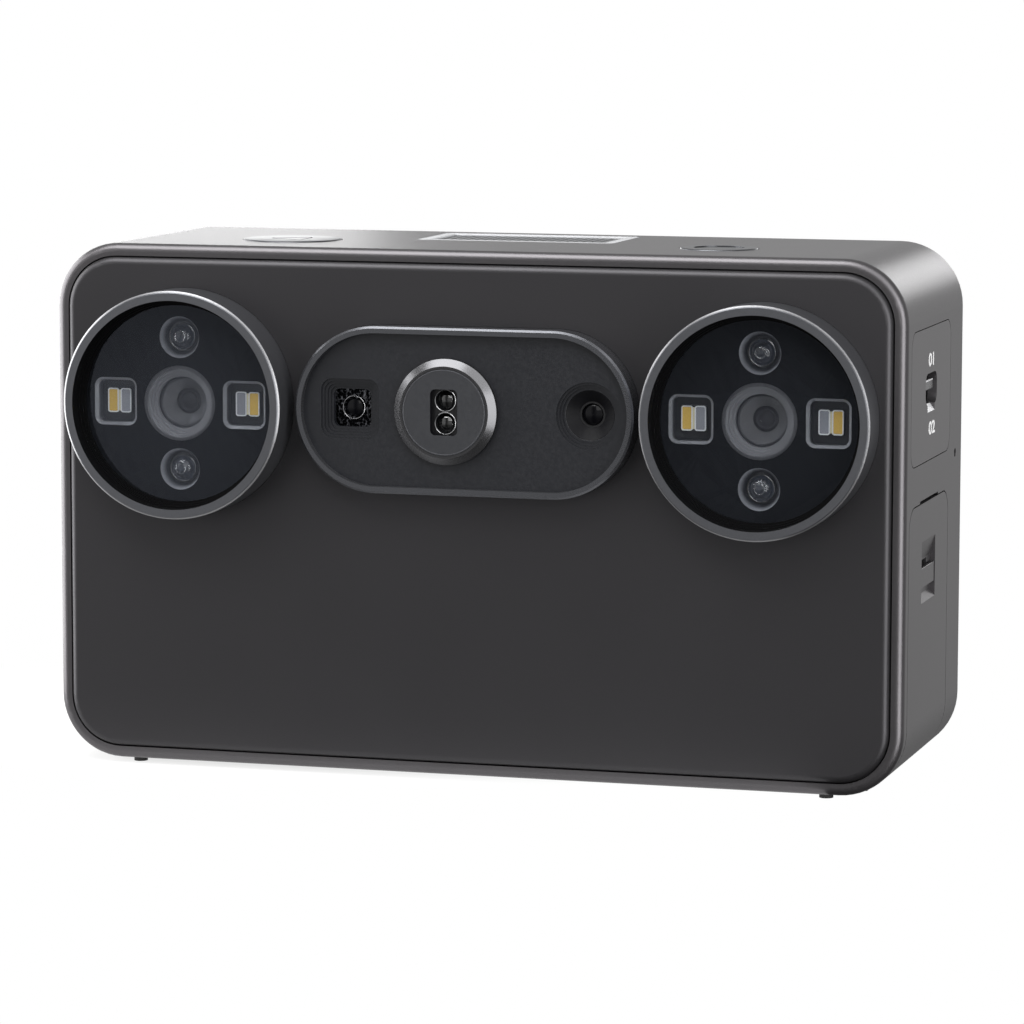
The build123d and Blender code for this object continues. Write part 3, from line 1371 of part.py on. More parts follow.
# Battery tray: an open box on the floor of the casing whose mouth faces the door
with BuildPart() as battery_tray:
    with BuildSketch(Plane.YZ.offset(tray_end_x)):
        with Locations((tray_y, tray_z)):
            Rectangle(tray_depth, tray_height)
    extrude(amount=tray_length)
    with BuildSketch(Plane.YZ.offset(tray_end_x + tray_wall)):
        with Locations((tray_y, tray_z)):
            Rectangle(tray_depth - 2 * tray_wall, tray_height - 2 * tray_wall)
    extrude(amount=tray_length, mode=Mode.SUBTRACT)
battery_tray.part.label = "battery_tray"
export_step(battery_tray.part, "parts/battery_tray.step")

# Battery contacts: brass blades on the end wall of the tray
with BuildPart() as battery_contacts:
    with BuildSketch(Plane.YZ.offset(tray_end_x + tray_wall)):
        with Locations((tray_y, tray_z)):
            with GridLocations(contact_spacing, contact_spacing, contact_count, 1):
                Rectangle(contact_width, contact_height)
    extrude(amount=contact_thickness)
battery_contacts.part.label = "battery_contacts"
export_step(battery_contacts.part, "parts/battery_contacts.step")

# Battery pack: a rounded block standing on the floor of the tray against the contacts
with BuildPart() as battery_pack:
    with BuildSketch(Plane.YZ.offset(tray_end_x + tray_wall + contact_thickness)):
        with Locations((tray_y, tray_z - tray_height / 2 + tray_wall)):
            Rectangle(battery_depth, battery_height, align=(Align.CENTER, Align.MIN))
    extrude(amount=battery_length)
    fillet(battery_pack.edges().filter_by(Axis.X), battery_edge)
battery_pack.part.label = "battery_pack"
export_step(battery_pack.part, "parts/battery_pack.step")

# Main board: a circuit board across the upper half, on the posts of the chassis
with BuildPart() as main_board:
    with BuildSketch(facing_front(main_board_y)):
        with Locations((0, optics_z)):
            Rectangle(main_board_width, main_board_height)
    extrude(amount=-main_board_thickness)
main_board.part.label = "main_board"
export_step(main_board.part, "parts/main_board.step")

# Shield can and wireless module: flat boxes on the back of the main board
with BuildPart() as shield_can:
    with BuildSketch(facing_front(main_board_back_y)):
        with Locations((shield_x, optics_z)):
            Rectangle(shield_width, shield_height)
    extrude(amount=-shield_thickness)
shield_can.part.label = "shield_can"
export_step(shield_can.part, "parts/shield_can.step")
with BuildPart() as wireless_module:
    with BuildSketch(facing_front(main_board_back_y)):
        with Locations((wireless_x, optics_z)):
            Rectangle(wireless_width, wireless_height)
    extrude(amount=-wireless_thickness)
wireless_module.part.label = "wireless_module"
export_step(wireless_module.part, "parts/wireless_module.step")

# Heat sink: a base on the back of the main board with upright fins under the vent
sink_top_z = top_z - wall - sink_top_gap
sink_fin_spacing = (sink_width - sink_fin_thickness) / (sink_fin_count - 1)
with BuildPart() as heat_sink:
    with BuildSketch(facing_front(main_board_back_y)):
        with Locations((0, sink_top_z)):
            Rectangle(sink_width, sink_base_height, align=(Align.CENTER, Align.MAX))
    extrude(amount=-sink_base_thickness)
    with BuildSketch(facing_front(main_board_back_y + sink_base_thickness)):
        with Locations((0, sink_top_z - sink_base_height / 2)):
            with GridLocations(sink_fin_spacing, sink_fin_spacing, sink_fin_count, 1):
                Rectangle(sink_fin_thickness, sink_base_height)
    extrude(amount=-sink_fin_depth)
heat_sink.part.label = "heat_sink"
export_step(heat_sink.part, "parts/heat_sink.step")

# Socket: a rounded metal shell on the back of the main board, open at the left-hand end, with a tongue inside
with BuildPart() as usb_socket:
    with BuildSketch(Plane.YZ.offset(socket_x)):
        with Locations((socket_y, socket_z)):
            SlotOverall(socket_height, socket_thickness, rotation=90)
    extrude(amount=socket_length)
    with BuildSketch(Plane.YZ.offset(socket_x)):
        with Locations((socket_y, socket_z)):
            SlotOverall(socket_height - 2 * socket_wall, socket_thickness - 2 * socket_wall, rotation=90)
    extrude(amount=socket_bore_depth, mode=Mode.SUBTRACT)
    with BuildSketch(Plane.YZ.offset(socket_x + socket_wall)):
        with Locations((socket_y, socket_z)):
            Rectangle(socket_tongue_thickness, socket_tongue_height)
    extrude(amount=socket_bore_depth - socket_wall)
usb_socket.part.label = "usb_socket"
export_step(usb_socket.part, "parts/usb_socket.step")

# Tripod insert: a metal bush in the base with a blind hole for a camera screw
with BuildPart() as tripod_insert:
    with BuildSketch(Plane.XY.offset(base_z)):
        with Locations((tripod_x, tripod_y)):
            Circle(insert_radius)
    extrude(amount=insert_length)
    with BuildSketch(Plane.XY.offset(base_z)):
        with Locations((tripod_x, tripod_y)):
            Circle(tripod_hole_radius)
    extrude(amount=tripod_hole_length, mode=Mode.SUBTRACT)
tripod_insert.part.label = "tripod_insert"
export_step(tripod_insert.part, "parts/tripod_insert.step")

# Feet: four round pegs pressed into the base near its corners
with BuildPart() as feet:
    with BuildSketch(Plane.XY):
        with Locations((0, rim_y + body_depth / 2)):
            with GridLocations(2 * foot_x, body_depth - 2 * foot_front_inset, 2, 2):
                Circle(foot_radius)
    extrude(amount=foot_height + foot_peg)
feet.part.label = "feet"
export_step(feet.part, "parts/feet.step")
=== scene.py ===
import math

import bmesh
import bpy
from mathutils import Matrix, Vector


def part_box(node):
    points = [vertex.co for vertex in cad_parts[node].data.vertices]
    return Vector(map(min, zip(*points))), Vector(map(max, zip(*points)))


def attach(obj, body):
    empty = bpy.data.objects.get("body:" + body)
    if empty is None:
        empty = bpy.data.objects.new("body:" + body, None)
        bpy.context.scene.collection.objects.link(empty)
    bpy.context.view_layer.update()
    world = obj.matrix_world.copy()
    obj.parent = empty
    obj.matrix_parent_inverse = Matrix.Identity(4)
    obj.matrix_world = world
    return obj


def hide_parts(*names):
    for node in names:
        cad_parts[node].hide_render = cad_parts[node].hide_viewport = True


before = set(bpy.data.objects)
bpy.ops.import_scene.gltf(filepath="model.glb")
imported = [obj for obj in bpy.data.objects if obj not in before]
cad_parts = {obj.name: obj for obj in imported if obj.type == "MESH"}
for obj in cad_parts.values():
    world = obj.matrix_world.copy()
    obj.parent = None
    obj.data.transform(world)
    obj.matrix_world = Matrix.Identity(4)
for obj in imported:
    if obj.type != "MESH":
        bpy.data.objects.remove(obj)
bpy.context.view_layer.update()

# Casing frame: a deep-drawn aluminium tube with machined openings, bead blasted and anodised dark
# grey. Everything else is set into it, or screwed to it from behind.
mm = 0.001
noise_low, noise_high = 0.3, 0.7  # nearly all of a noise texture's values lie between these


def linear(hex_colour):
    """An sRGB hex value as linear RGBA."""
    channels = [int(hex_colour[i : i + 2], 16) / 255 for i in (0, 2, 4)]
    return [c / 12.92 if c <= 0.04045 else ((c + 0.055) / 1.055) ** 2.4 for c in channels] + [1.0]


def add_node(owner, kind, inputs=None, **settings):
    """Adds a node to a material or world. Inputs are socket values, or outputs to link."""
    node = owner.node_tree.nodes.new("ShaderNode" + kind)
    for name, value in settings.items():
        setattr(node, name, value)
    for socket, value in (inputs or {}).items():
        if isinstance(value, bpy.types.NodeSocket):
            owner.node_tree.links.new(value, node.inputs[socket])
        else:
            node.inputs[socket].default_value = value
    return node


def blank_material(name):
    """A material with an empty node tree."""
    material = bpy.data.materials.new(name)
    material.use_nodes = True
    material.node_tree.nodes.clear()
    return material


def satin_metal(name, dark, light, roughness, dent_mm=0.2, cloud_mm=22.0, metal=1.0):
    """Blasted or ground metal, anodised or plated: a soft sheen, a fine even sparkle where the
    surface is dented, and faint clouds where the dye took more or less. Below 1, metal leaves a
    share of light that the dye scatters. Real dents are 0.05 mm; they are drawn coarser, to show."""
    cloud_share = 0.35
    gloss_swing = 0.04
    dent_depth = 0.03 * mm
    material = blank_material(name)
    place = add_node(material, "TexCoord").outputs["Object"]
    dents = add_node(
        material,
        "TexNoise",
        {"Vector": place, "Scale": 1 / (dent_mm * mm), "Detail": 3.0, "Roughness": 0.6},
    ).outputs["Fac"]
    clouds = add_node(
        material, "TexNoise", {"Vector": place, "Scale": 1 / (cloud_mm * mm), "Detail": 1.0}
    ).outputs["Fac"]
    dye = add_node(
        material, "Mix", {"Factor": cloud_share, "A": dents, "B": clouds}, data_type="FLOAT"
    )
    colour = add_node(
        material,
        "Mix",
        {"Factor": dye.outputs["Result"], "A": linear(dark), "B": linear(light)},
        data_type="RGBA",
    )
    satin = add_node(
        material,
        "MapRange",
        {
            "Value": dents,
            "From Min": noise_low,
            "From Max": noise_high,
            "To Min": roughness - gloss_swing,
            "To Max": roughness + gloss_swing,
        },
    )
    relief = add_node(material, "Bump", {"Height": dents, "Strength": 0.04, "Distance": dent_depth})
    shader = add_node(
        material,
        "BsdfPrincipled",
        {
            "Base Color": colour.outputs["Result"],
            "Metallic": metal,
            "Roughness": satin.outputs["Result"],
            "Normal": relief.outputs["Normal"],
        },
    )
    add_node(material, "OutputMaterial", {"Surface": shader.outputs["BSDF"]})
    return material


def dress(material, *nodes):
    """Gives CAD nodes their finish."""
    for node in nodes:
        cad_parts[node].material_slots[0].material = material


casing_finish = satin_metal("anodised_aluminium_casing", "555355", "626062", 0.36, metal=0.9)
dress(casing_finish, "body_shell")

# Front panel: a stamped aluminium plate with the casing's finish, pressed in behind the rim so that
# a dark seam is left all round. Its face is bare.
panel_finish = satin_metal("anodised_aluminium_panel", "3a393b", "454446", 0.43, metal=0.85)
dress(panel_finish, "front_panel")

# Rear cover: a flat ABS plate, moulded in a spark-eroded tool that leaves a fine matt grain. Four
# black socket screws hold it in the frame.


def grained_surface(name, dark, light, roughness, grain_mm=0.4, relief_mm=0.03, ior=1.5):
    """A moulded, cast or painted surface: matt to glossy, with a fine even grain in height, tone
    and gloss. The grain of a spark-eroded tool is 0.1 mm; it is drawn coarser, to show."""
    gloss_swing = 0.06
    material = blank_material(name)
    place = add_node(material, "TexCoord").outputs["Object"]
    grain = add_node(
        material,
        "TexNoise",
        {"Vector": place, "Scale": 1 / (grain_mm * mm), "Detail": 4.0, "Roughness": 0.55},
    ).outputs["Fac"]
    colour = add_node(
        material, "Mix", {"Factor": grain, "A": linear(dark), "B": linear(light)}, data_type="RGBA"
    )
    gloss = add_node(
        material,
        "MapRange",
        {
            "Value": grain,
            "From Min": noise_low,
            "From Max": noise_high,
            "To Min": roughness - gloss_swing,
            "To Max": roughness + gloss_swing,
        },
    )
    relief = add_node(
        material, "Bump", {"Height": grain, "Strength": 0.2, "Distance": relief_mm * mm}
    )
    shader = add_node(
        material,
        "BsdfPrincipled",
        {
            "Base Color": colour.outputs["Result"],
            "Roughness": gloss.outputs["Result"],
            "Normal": relief.outputs["Normal"],
            "IOR": ior,
        },
    )
    add_node(material, "OutputMaterial", {"Surface": shader.outputs["BSDF"]})
    return material


dress(grained_surface("moulded_abs_rear", "232427", "2e2f32", 0.5), "rear_cover")
dress(satin_metal("blackened_screw_steel", "2a2a2b", "3d3d3f", 0.33), "rear_screws")

# Lens hoods: two turned aluminium rings, anodised grey outside with a bright cut chamfer, and
# painted matt black in the stepped bore, so that no stray light reaches the cameras. A flange
# behind the panel holds each.
bore_reach = 17.93 * mm
chamfer_reach = 19.36 * mm
chamfer_depth = 0.38 * mm
hood_dent = 0.2 * mm
hood_dent_depth = 0.03 * mm
hood_low, hood_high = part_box("right_lens_hood")
cluster_x = (hood_low.x + hood_high.x) / 2
optics_z = (hood_low.z + hood_high.z) / 2
hood_finish = blank_material("anodised_aluminium_hood_black_bore")
hood_place = add_node(hood_finish, "TexCoord").outputs["Object"]
hood_axes = add_node(hood_finish, "SeparateXYZ", {0: hood_place})
either_side = add_node(hood_finish, "Math", {0: hood_axes.outputs["X"]}, operation="ABSOLUTE")
across_hood = add_node(
    hood_finish, "CombineXYZ", {"X": either_side.outputs["Value"], "Z": hood_axes.outputs["Z"]}
)
from_axis = add_node(
    hood_finish,
    "VectorMath",
    {0: across_hood.outputs["Vector"], 1: (cluster_x, 0, optics_z)},
    operation="DISTANCE",
).outputs["Value"]
# The paint takes the bore: no metal in it, and little shine
painted = add_node(
    hood_finish, "Math", {0: from_axis, 1: bore_reach}, operation="LESS_THAN"
).outputs["Value"]
hood_metal = add_node(hood_finish, "MapRange", {"Value": painted, "To Min": 0.8, "To Max": 0.0})
hood_shine = add_node(hood_finish, "MapRange", {"Value": painted, "To Min": 0.5, "To Max": 0.08})
hood_dents = add_node(
    hood_finish,
    "TexNoise",
    {"Vector": hood_place, "Scale": 1 / hood_dent, "Detail": 3.0, "Roughness": 0.6},
).outputs["Fac"]
hood_dye = add_node(
    hood_finish,
    "Mix",
    {"Factor": hood_dents, "A": linear("5b5c60"), "B": linear("67686c")},
    data_type="RGBA",
)
# The chamfer is cut through the dye, and shows the bare metal
outside_face = add_node(
    hood_finish, "Math", {0: from_axis, 1: chamfer_reach}, operation="GREATER_THAN"
)
near_front = add_node(
    hood_finish,
    "Math",
    {0: hood_axes.outputs["Y"], 1: hood_low.y + chamfer_depth},
    operation="LESS_THAN",
)
cut = add_node(
    hood_finish,
    "Math",
    {0: outside_face.outputs["Value"], 1: near_front.outputs["Value"]},
    operation="MULTIPLY",
)
hood_metal_colour = add_node(
    hood_finish,
    "Mix",
    {"Factor": cut.outputs["Value"], "A": hood_dye.outputs["Result"], "B": linear("8e8e90")},
    data_type="RGBA",
)
hood_colour = add_node(
    hood_finish,
    "Mix",
    {"Factor": painted, "A": hood_metal_colour.outputs["Result"], "B": linear("060607")},
    data_type="RGBA",
)
hood_satin = add_node(
    hood_finish,
    "MapRange",
    {
        "Value": hood_dents,
        "From Min": noise_low,
        "From Max": noise_high,
        "To Min": 0.3,
        "To Max": 0.38,
    },
)
hood_sheen = add_node(
    hood_finish,
    "Mix",
    {"Factor": painted, "A": hood_satin.outputs["Result"], "B": 0.55},
    data_type="FLOAT",
)
hood_relief = add_node(
    hood_finish, "Bump", {"Height": hood_dents, "Strength": 0.05, "Distance": hood_dent_depth}
)
hood_shader = add_node(
    hood_finish,
    "BsdfPrincipled",
    {
        "Base Color": hood_colour.outputs["Result"],
        "Metallic": hood_metal.outputs["Result"],
        "Specular IOR Level": hood_shine.outputs["Result"],
        "Roughness": hood_sheen.outputs["Result"],
        "Normal": hood_relief.outputs["Normal"],
    },
)
add_node(hood_finish, "OutputMaterial", {"Surface": hood_shader.outputs["BSDF"]})
dress(hood_finish, "left_lens_hood", "right_lens_hood")

# Windows: two flat discs of hardened glass, glued against the lip inside each hood. They are
# coated, and only a little of the room shows in them.


def clear_optic(name, tint, ior, smear_mm=9.0, smear=0.1, sheen="ffffff"):
    """Polished glass or clear silicone: sharp reflections, tinted by any coating, with the faint
    smears that wiping leaves. Lamps shine through it, as they do through a thin clear piece."""
    material = blank_material(name)
    place = add_node(material, "TexCoord").outputs["Object"]
    wiped = add_node(
        material, "TexNoise", {"Vector": place, "Scale": 1 / (smear_mm * mm), "Detail": 3.0}
    ).outputs["Fac"]
    smeared = [channel * (1 - smear) for channel in linear(tint)[:3]] + [1.0]
    clean = add_node(
        material, "Mix", {"Factor": wiped, "A": linear(tint), "B": smeared}, data_type="RGBA"
    )
    shader = add_node(
        material,
        "BsdfPrincipled",
        {
            "Base Color": clean.outputs["Result"],
            "Roughness": 0.0,
            "IOR": ior,
            "Specular Tint": linear(sheen),
            "Transmission Weight": 1.0,
        },
    )
    open_way = add_node(material, "BsdfTransparent", {"Color": linear(tint)})
    shadow = add_node(material, "LightPath").outputs["Is Shadow Ray"]
    mixed = add_node(
        material, "MixShader", {0: shadow, 1: shader.outputs["BSDF"], 2: open_way.outputs["BSDF"]}
    )
    add_node(material, "OutputMaterial", {"Surface": mixed.outputs["Shader"]})
    return material


window_glass = clear_optic("coated_window_glass", "e6e8ea", 1.47, sheen="e4ecff")
dress(window_glass, "left_lens_window", "right_lens_window")

# Lens carriers: two blocks of glass-filled nylon behind the windows. The face against the glass is
# printed black, and the edges of the cups and pockets show the grey of the plastic. Deeper in, the
# cups and pockets are drawn darker, as painted shade.
carrier_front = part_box("right_lens_carrier")[0].y
print_depth = 0.02 * mm
shade_start, shade_full = 0.45 * mm, 1.5 * mm
nylon_grain = 0.35 * mm
carrier_finish = blank_material("printed_black_nylon_carrier")
carrier_place = add_node(carrier_finish, "TexCoord").outputs["Object"]
carrier_axes = add_node(carrier_finish, "SeparateXYZ", {0: carrier_place})
recessed = add_node(
    carrier_finish,
    "Math",
    {0: carrier_axes.outputs["Y"], 1: carrier_front + print_depth},
    operation="GREATER_THAN",
).outputs["Value"]
# Painted shade: the cups and pockets turn darker the deeper they go
painted_shade_by_depth = add_node(
    carrier_finish,
    "MapRange",
    {
        "Value": carrier_axes.outputs["Y"],
        "From Min": carrier_front + shade_start,
        "From Max": carrier_front + shade_full,
    },
).outputs["Result"]
carrier_grain = add_node(
    carrier_finish, "TexNoise", {"Vector": carrier_place, "Scale": 1 / nylon_grain, "Detail": 3.0}
).outputs["Fac"]
nylon = add_node(
    carrier_finish,
    "Mix",
    {"Factor": carrier_grain, "A": linear("707176"), "B": linear("7a7b80")},
    data_type="RGBA",
)
recess_colour_with_painted_shade = add_node(
    carrier_finish,
    "Mix",
    {"Factor": painted_shade_by_depth, "A": nylon.outputs["Result"], "B": linear("28292d")},
    data_type="RGBA",
)
carrier_colour = add_node(
    carrier_finish,
    "Mix",
    {"Factor": recessed, "A": linear("1e1f23"), "B": recess_colour_with_painted_shade.outputs["Result"]},
    data_type="RGBA",
)
carrier_gloss = add_node(
    carrier_finish,
    "MapRange",
    {
        "Value": carrier_grain,
        "From Min": noise_low,
        "From Max": noise_high,
        "To Min": 0.3,
        "To Max": 0.4,
    },
)
carrier_shader = add_node(
    carrier_finish,
    "BsdfPrincipled",
    {
        "Base Color": carrier_colour.outputs["Result"],
        "Roughness": carrier_gloss.outputs["Result"],
        "IOR": 1.53,
    },
)
add_node(carrier_finish, "OutputMaterial", {"Surface": carrier_shader.outputs["BSDF"]})
dress(carrier_finish, "left_lens_carrier", "right_lens_carrier")

# Cameras: each is a turned barrel, anodised grey, with a coated front lens on a ledge in its mouth.
# Behind the lens a grey anodised funnel narrows to a second, smaller glass in a ridged ring.
sharp_angle = math.radians(32)


def piece(name, form, material, body):
    """Makes a form into a piece that rides on a body, with its finish and slot, and frees it."""
    mesh = bpy.data.meshes.new(name)
    bmesh.ops.recalc_face_normals(form, faces=form.faces)
    form.to_mesh(mesh)
    form.free()
    mesh.shade_smooth()
    mesh.set_sharp_from_angle(angle=sharp_angle)
    mesh.materials.append(material)
    made = bpy.data.objects.new(name, mesh)
    bpy.context.scene.collection.objects.link(made)
    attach(made, body)
    return made


def turn(form, profile, axis_x, axis_z, segments=72):
    """Turns a closed profile of (radius, y) points, in millimetres, about an optical axis, and adds
    it to a form."""
    angles = [2 * math.pi * k / segments for k in range(segments)]
    rings = []
    for radius, y in profile:
        if radius == 0:
            rings.append([form.verts.new((axis_x, y * mm, axis_z))])
            continue
        reach = radius * mm
        rings.append(
            [
                form.verts.new((axis_x + reach * math.cos(a), y * mm, axis_z + reach * math.sin(a)))
                for a in angles
            ]
        )
    for inner, outer in zip(rings, rings[1:] + rings[:1]):
        for k in range(segments):
            n = (k + 1) % segments
            corners = [inner[k % len(inner)], inner[n % len(inner)]]
            corners += [outer[n % len(outer)], outer[k % len(outer)]]
            corners = list(dict.fromkeys(corners))  # a point on the axis counts once
            if len(corners) > 2:
                form.faces.new(corners)


def dome(radius, rise, rim_y, steps=8):
    """The (radius, y) points of a dome that bulges towards the front, from its top to its rim."""
    ball = (radius**2 + rise**2) / (2 * rise)
    points = []
    for k in range(steps + 1):
        r = radius * k / steps
        points.append((r, rim_y - rise + ball - math.sqrt(ball**2 - r**2)))
    return points


barrel_finish = grained_surface(
    "hard_anodised_barrel", "626266", "6c6c70", 0.42, grain_mm=0.3, relief_mm=0.005
)
dress(barrel_finish, "left_camera_barrel", "right_camera_barrel")
dress(clear_optic("coated_camera_lens", "ebebed", 1.22), "left_camera_lens", "right_camera_lens")
funnel_finish = grained_surface(
    "grey_anodised_funnel", "727274", "7c7c7e", 0.5, relief_mm=0.002, ior=1.25
)
smoked_finish = grained_surface(
    "smoked_inner_glass", "46474b", "505155", 0.3, grain_mm=3.0, relief_mm=0.001, ior=1.28
)
# Radii, and places along the optical axis from the back of the front lens, in millimetres
camera_lens_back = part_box("right_camera_lens")[1].y / mm
funnel_mouth, funnel_throat, funnel_wall = 4.0, 2.2, 0.1
funnel_front, funnel_back = camera_lens_back + 0.05, camera_lens_back + 2.0
eye_radius, eye_rise, eye_rim = 1.2, 0.45, camera_lens_back + 2.15
ring_inner, ring_ridge, ring_outer = 1.4, 1.6, 2.05
ridge_front, ring_edge = camera_lens_back + 1.92, camera_lens_back + 2.2
ring_back = camera_lens_back + 2.58
funnel_profile = [
    (funnel_mouth, funnel_front),
    (funnel_throat, funnel_back),
    (funnel_throat - funnel_wall, funnel_back),
    (funnel_mouth - funnel_wall, funnel_front),
]
eye_profile = dome(eye_radius, eye_rise, eye_rim) + [
    (ring_inner, eye_rim),
    (ring_ridge, ridge_front),
    (ring_outer, ring_edge),
    (ring_outer, ring_back),
    (0, ring_back),
]
for side_name, side in (("left", -1), ("right", 1)):
    stop = bmesh.new()
    turn(stop, funnel_profile, side * cluster_x, optics_z)
    piece(side_name + "_camera_stop", stop, funnel_finish, "scanner")
    eye = bmesh.new()
    turn(eye, eye_profile, side * cluster_x, optics_z)
    piece(side_name + "_camera_eye", eye, smoked_finish, "scanner")

# Round lights: four infrared lights on the cup floors, each a small dome of smoked epoxy on a round
# base, under a wider cover of clear silicone that closes the cup. A polished bead seats each cover,
# and a finer one rings the top of it.
light_low, light_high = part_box("round_lights")
light_radius = 2.3 * mm
light_rise = (light_high.z - light_low.z) / 2 - light_radius
light_spots = [(side * cluster_x, optics_z + up * light_rise) for side in (-1, 1) for up in (-1, 1)]
light_segments = 48
epoxy_finish = grained_surface(
    "smoked_epoxy_light", "3e4047", "484a51", 0.16, grain_mm=2.0, relief_mm=0.001
)
dress(epoxy_finish, "round_lights")
cover_glass = clear_optic("clear_silicone_cover", "eef0f4", 1.5)
# Radii, and places along the optical axis from the front of the lights, in millimetres
cover_radius, cover_rise = 2.2, 1.5
cover_rim = light_low.y / mm + 1.18
cover_back = cover_rim + 0.01
cover_profile = dome(cover_radius, cover_rise, cover_rim) + [
    (cover_radius, cover_back),
    (0, cover_back),
]
covers = bmesh.new()
for light_x, light_z in light_spots:
    turn(covers, cover_profile, light_x, light_z, segments=light_segments)
piece("round_light_covers", covers, cover_glass, "scanner")


def bead_profile(radius, half, y, steps=8):
    """The (radius, y) points of a round bead of wire about an axis."""
    turns = [2 * math.pi * k / steps for k in range(steps)]
    return [(radius + half * math.cos(a), y + half * math.sin(a)) for a in turns]


bead_finish = satin_metal("polished_steel_bead", "b8b8ba", "c6c6c8", 0.12)
seat_bead = bead_profile(2.24, 0.06, cover_rim - 0.08)
dome_bead = bead_profile(0.86, 0.05, cover_rim - 1.38)
light_beads = bmesh.new()
for light_x, light_z in light_spots:
    for profile in (seat_bead, dome_bead):
        turn(light_beads, profile, light_x, light_z, segments=light_segments)
piece("round_light_beads", light_beads, bead_finish, "scanner")

# Square lights: four flat packages on the pocket floors. Each has a yellow phosphor chip and a clear
# chip, moulded into a dark base, with a pale wall of resin round each chip and a cream strip between
# them.
phosphor_finish = grained_surface(
    "yellow_phosphor", "c8a44c", "dcb85c", 0.3, grain_mm=0.12, relief_mm=0.01
)
gel_finish = grained_surface(
    "clear_gel_chip", "82848c", "94969e", 0.2, grain_mm=0.2, relief_mm=0.004
)
dress(grained_surface("dark_light_base", "242529", "303137", 0.35), "light_packages")
dress(phosphor_finish, "yellow_chips")
dress(gel_finish, "clear_chips")
wall_finish = grained_surface("pale_resin_wall", "d0d2d6", "e2e4e7", 0.35)
strip_finish = grained_surface("cream_resin_strip", "c6bd9e", "dad1b2", 0.35)
package_low, package_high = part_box("light_packages")
package_front = package_low.y
package_width = 4.4 * mm
package_height = package_high.z - package_low.z
pocket_reach = package_high.x - package_width / 2 - cluster_x
wall_offset, wall_width, wall_margin = 1.16 * mm, 1.94 * mm, 0.1 * mm
wall_corner, wall_thick, wall_rise = 0.42 * mm, 0.2 * mm, 0.32 * mm
seat_gap = 0.001 * mm  # so that no faces coincide
strip_width, strip_rise, strip_height = 0.36 * mm, 0.2 * mm, 3.6 * mm


def round_corners(width, height, radius, steps=4):
    """The corner points of a rounded rectangle about the origin, in order."""
    points = []
    for turn_count, (sx, sz) in enumerate(((1, 1), (-1, 1), (-1, -1), (1, -1))):
        corner_x, corner_z = sx * (width / 2 - radius), sz * (height / 2 - radius)
        for k in range(steps + 1):
            a = math.pi / 2 * (turn_count + k / steps)
            points.append((corner_x + radius * math.cos(a), corner_z + radius * math.sin(a)))
    return points


def join_rings(form, one, two):
    """Adds the faces between two rings of as many vertices to a form."""
    for k in range(len(one)):
        n = (k + 1) % len(one)
        form.faces.new((one[k], one[n], two[n], two[k]))


def frame_wall(form, centre_x, centre_z, width, height, radius, thick, front, back):
    """Adds a low rounded wall, open in the middle, that stands on a face towards the front."""
    outer = round_corners(width, height, radius)
    inner = round_corners(width - 2 * thick, height - 2 * thick, radius - thick)
    loops = []
    for outline, y in ((outer, back), (outer, front), (inner, front), (inner, back)):
        loops.append([form.verts.new((centre_x + x, y, centre_z + z)) for x, z in outline])
    for one, two in zip(loops, loops[1:] + loops[:1]):
        join_rings(form, one, two)


def block(form, centre, size):
    """Adds a plain block to a form."""
    place = Matrix.Translation(centre) @ Matrix.Diagonal((*size, 1.0))
    bmesh.ops.create_cube(form, size=1.0, matrix=place)


walls = bmesh.new()
strips = bmesh.new()
for side in (-1, 1):
    for outward in (-1, 1):
        package_x = side * cluster_x + outward * pocket_reach
        for half in (-1, 1):
            frame_wall(
                walls,
                package_x + half * wall_offset,
                optics_z,
                wall_width,
                package_height - wall_margin,
                wall_corner,
                wall_thick,
                package_front - wall_rise,
                package_front - seat_gap,
            )
        block(
            strips,
            (package_x, package_front - strip_rise / 2, optics_z),
            (strip_width, strip_rise, strip_height),
        )
piece("chip_walls", walls, wall_finish, "scanner")
piece("chip_strips", strips, strip_finish, "scanner")

# Chassis and what it carries behind the optics: a milled aluminium plate, two black lens holders,
# and green circuit boards with copper tracks that show lighter under the mask.
track_pitch = 6 * mm
gloss_patch = 2 * mm
track_height = 0.03 * mm
holder_finish = grained_surface("black_nylon_holder", "141415", "1e1e20", 0.5)
dress(satin_metal("milled_aluminium", "8c8d8f", "9c9d9f", 0.32), "chassis")
dress(holder_finish, "left_lens_holder", "right_lens_holder")
board_finish = blank_material("green_masked_board")
board_place = add_node(board_finish, "TexCoord").outputs["Object"]
board_upright = add_node(
    board_finish, "Mapping", {"Vector": board_place, "Rotation": (math.pi / 2, 0, 0)}
)
tracks = add_node(
    board_finish,
    "TexBrick",
    {
        "Vector": board_upright.outputs["Vector"],
        "Color1": linear("14452c"),
        "Color2": linear("1a5034"),
        "Mortar": linear("3a7048"),
        "Scale": 1 / track_pitch,
        "Mortar Size": 0.03,
    },
)
board_gloss = add_node(
    board_finish, "TexNoise", {"Vector": board_place, "Scale": 1 / gloss_patch, "Detail": 2.0}
)
board_shine = add_node(
    board_finish, "MapRange", {"Value": board_gloss.outputs["Fac"], "To Min": 0.25, "To Max": 0.45}
)
board_relief = add_node(
    board_finish,
    "Bump",
    {"Height": tracks.outputs["Fac"], "Strength": 0.3, "Distance": track_height},
)
board_shader = add_node(
    board_finish,
    "BsdfPrincipled",
    {
        "Base Color": tracks.outputs["Color"],
        "Roughness": board_shine.outputs["Result"],
        "Normal": board_relief.outputs["Normal"],
        "IOR": 1.5,
    },
)
add_node(board_finish, "OutputMaterial", {"Surface": board_shader.outputs["BSDF"]})
dress(board_finish, "left_camera_board", "right_camera_board", "button_board", "main_board")

# Projector bezel: a pill-shaped ring of milled and anodised aluminium that stands through the front
# panel, with a bright cut edge. A flange behind the panel holds it.
bezel_finish = satin_metal(
    "anodised_aluminium_bezel", "5b5c60", "65666a", 0.28, dent_mm=0.12, metal=0.85
)
dress(bezel_finish, "projector_bezel")

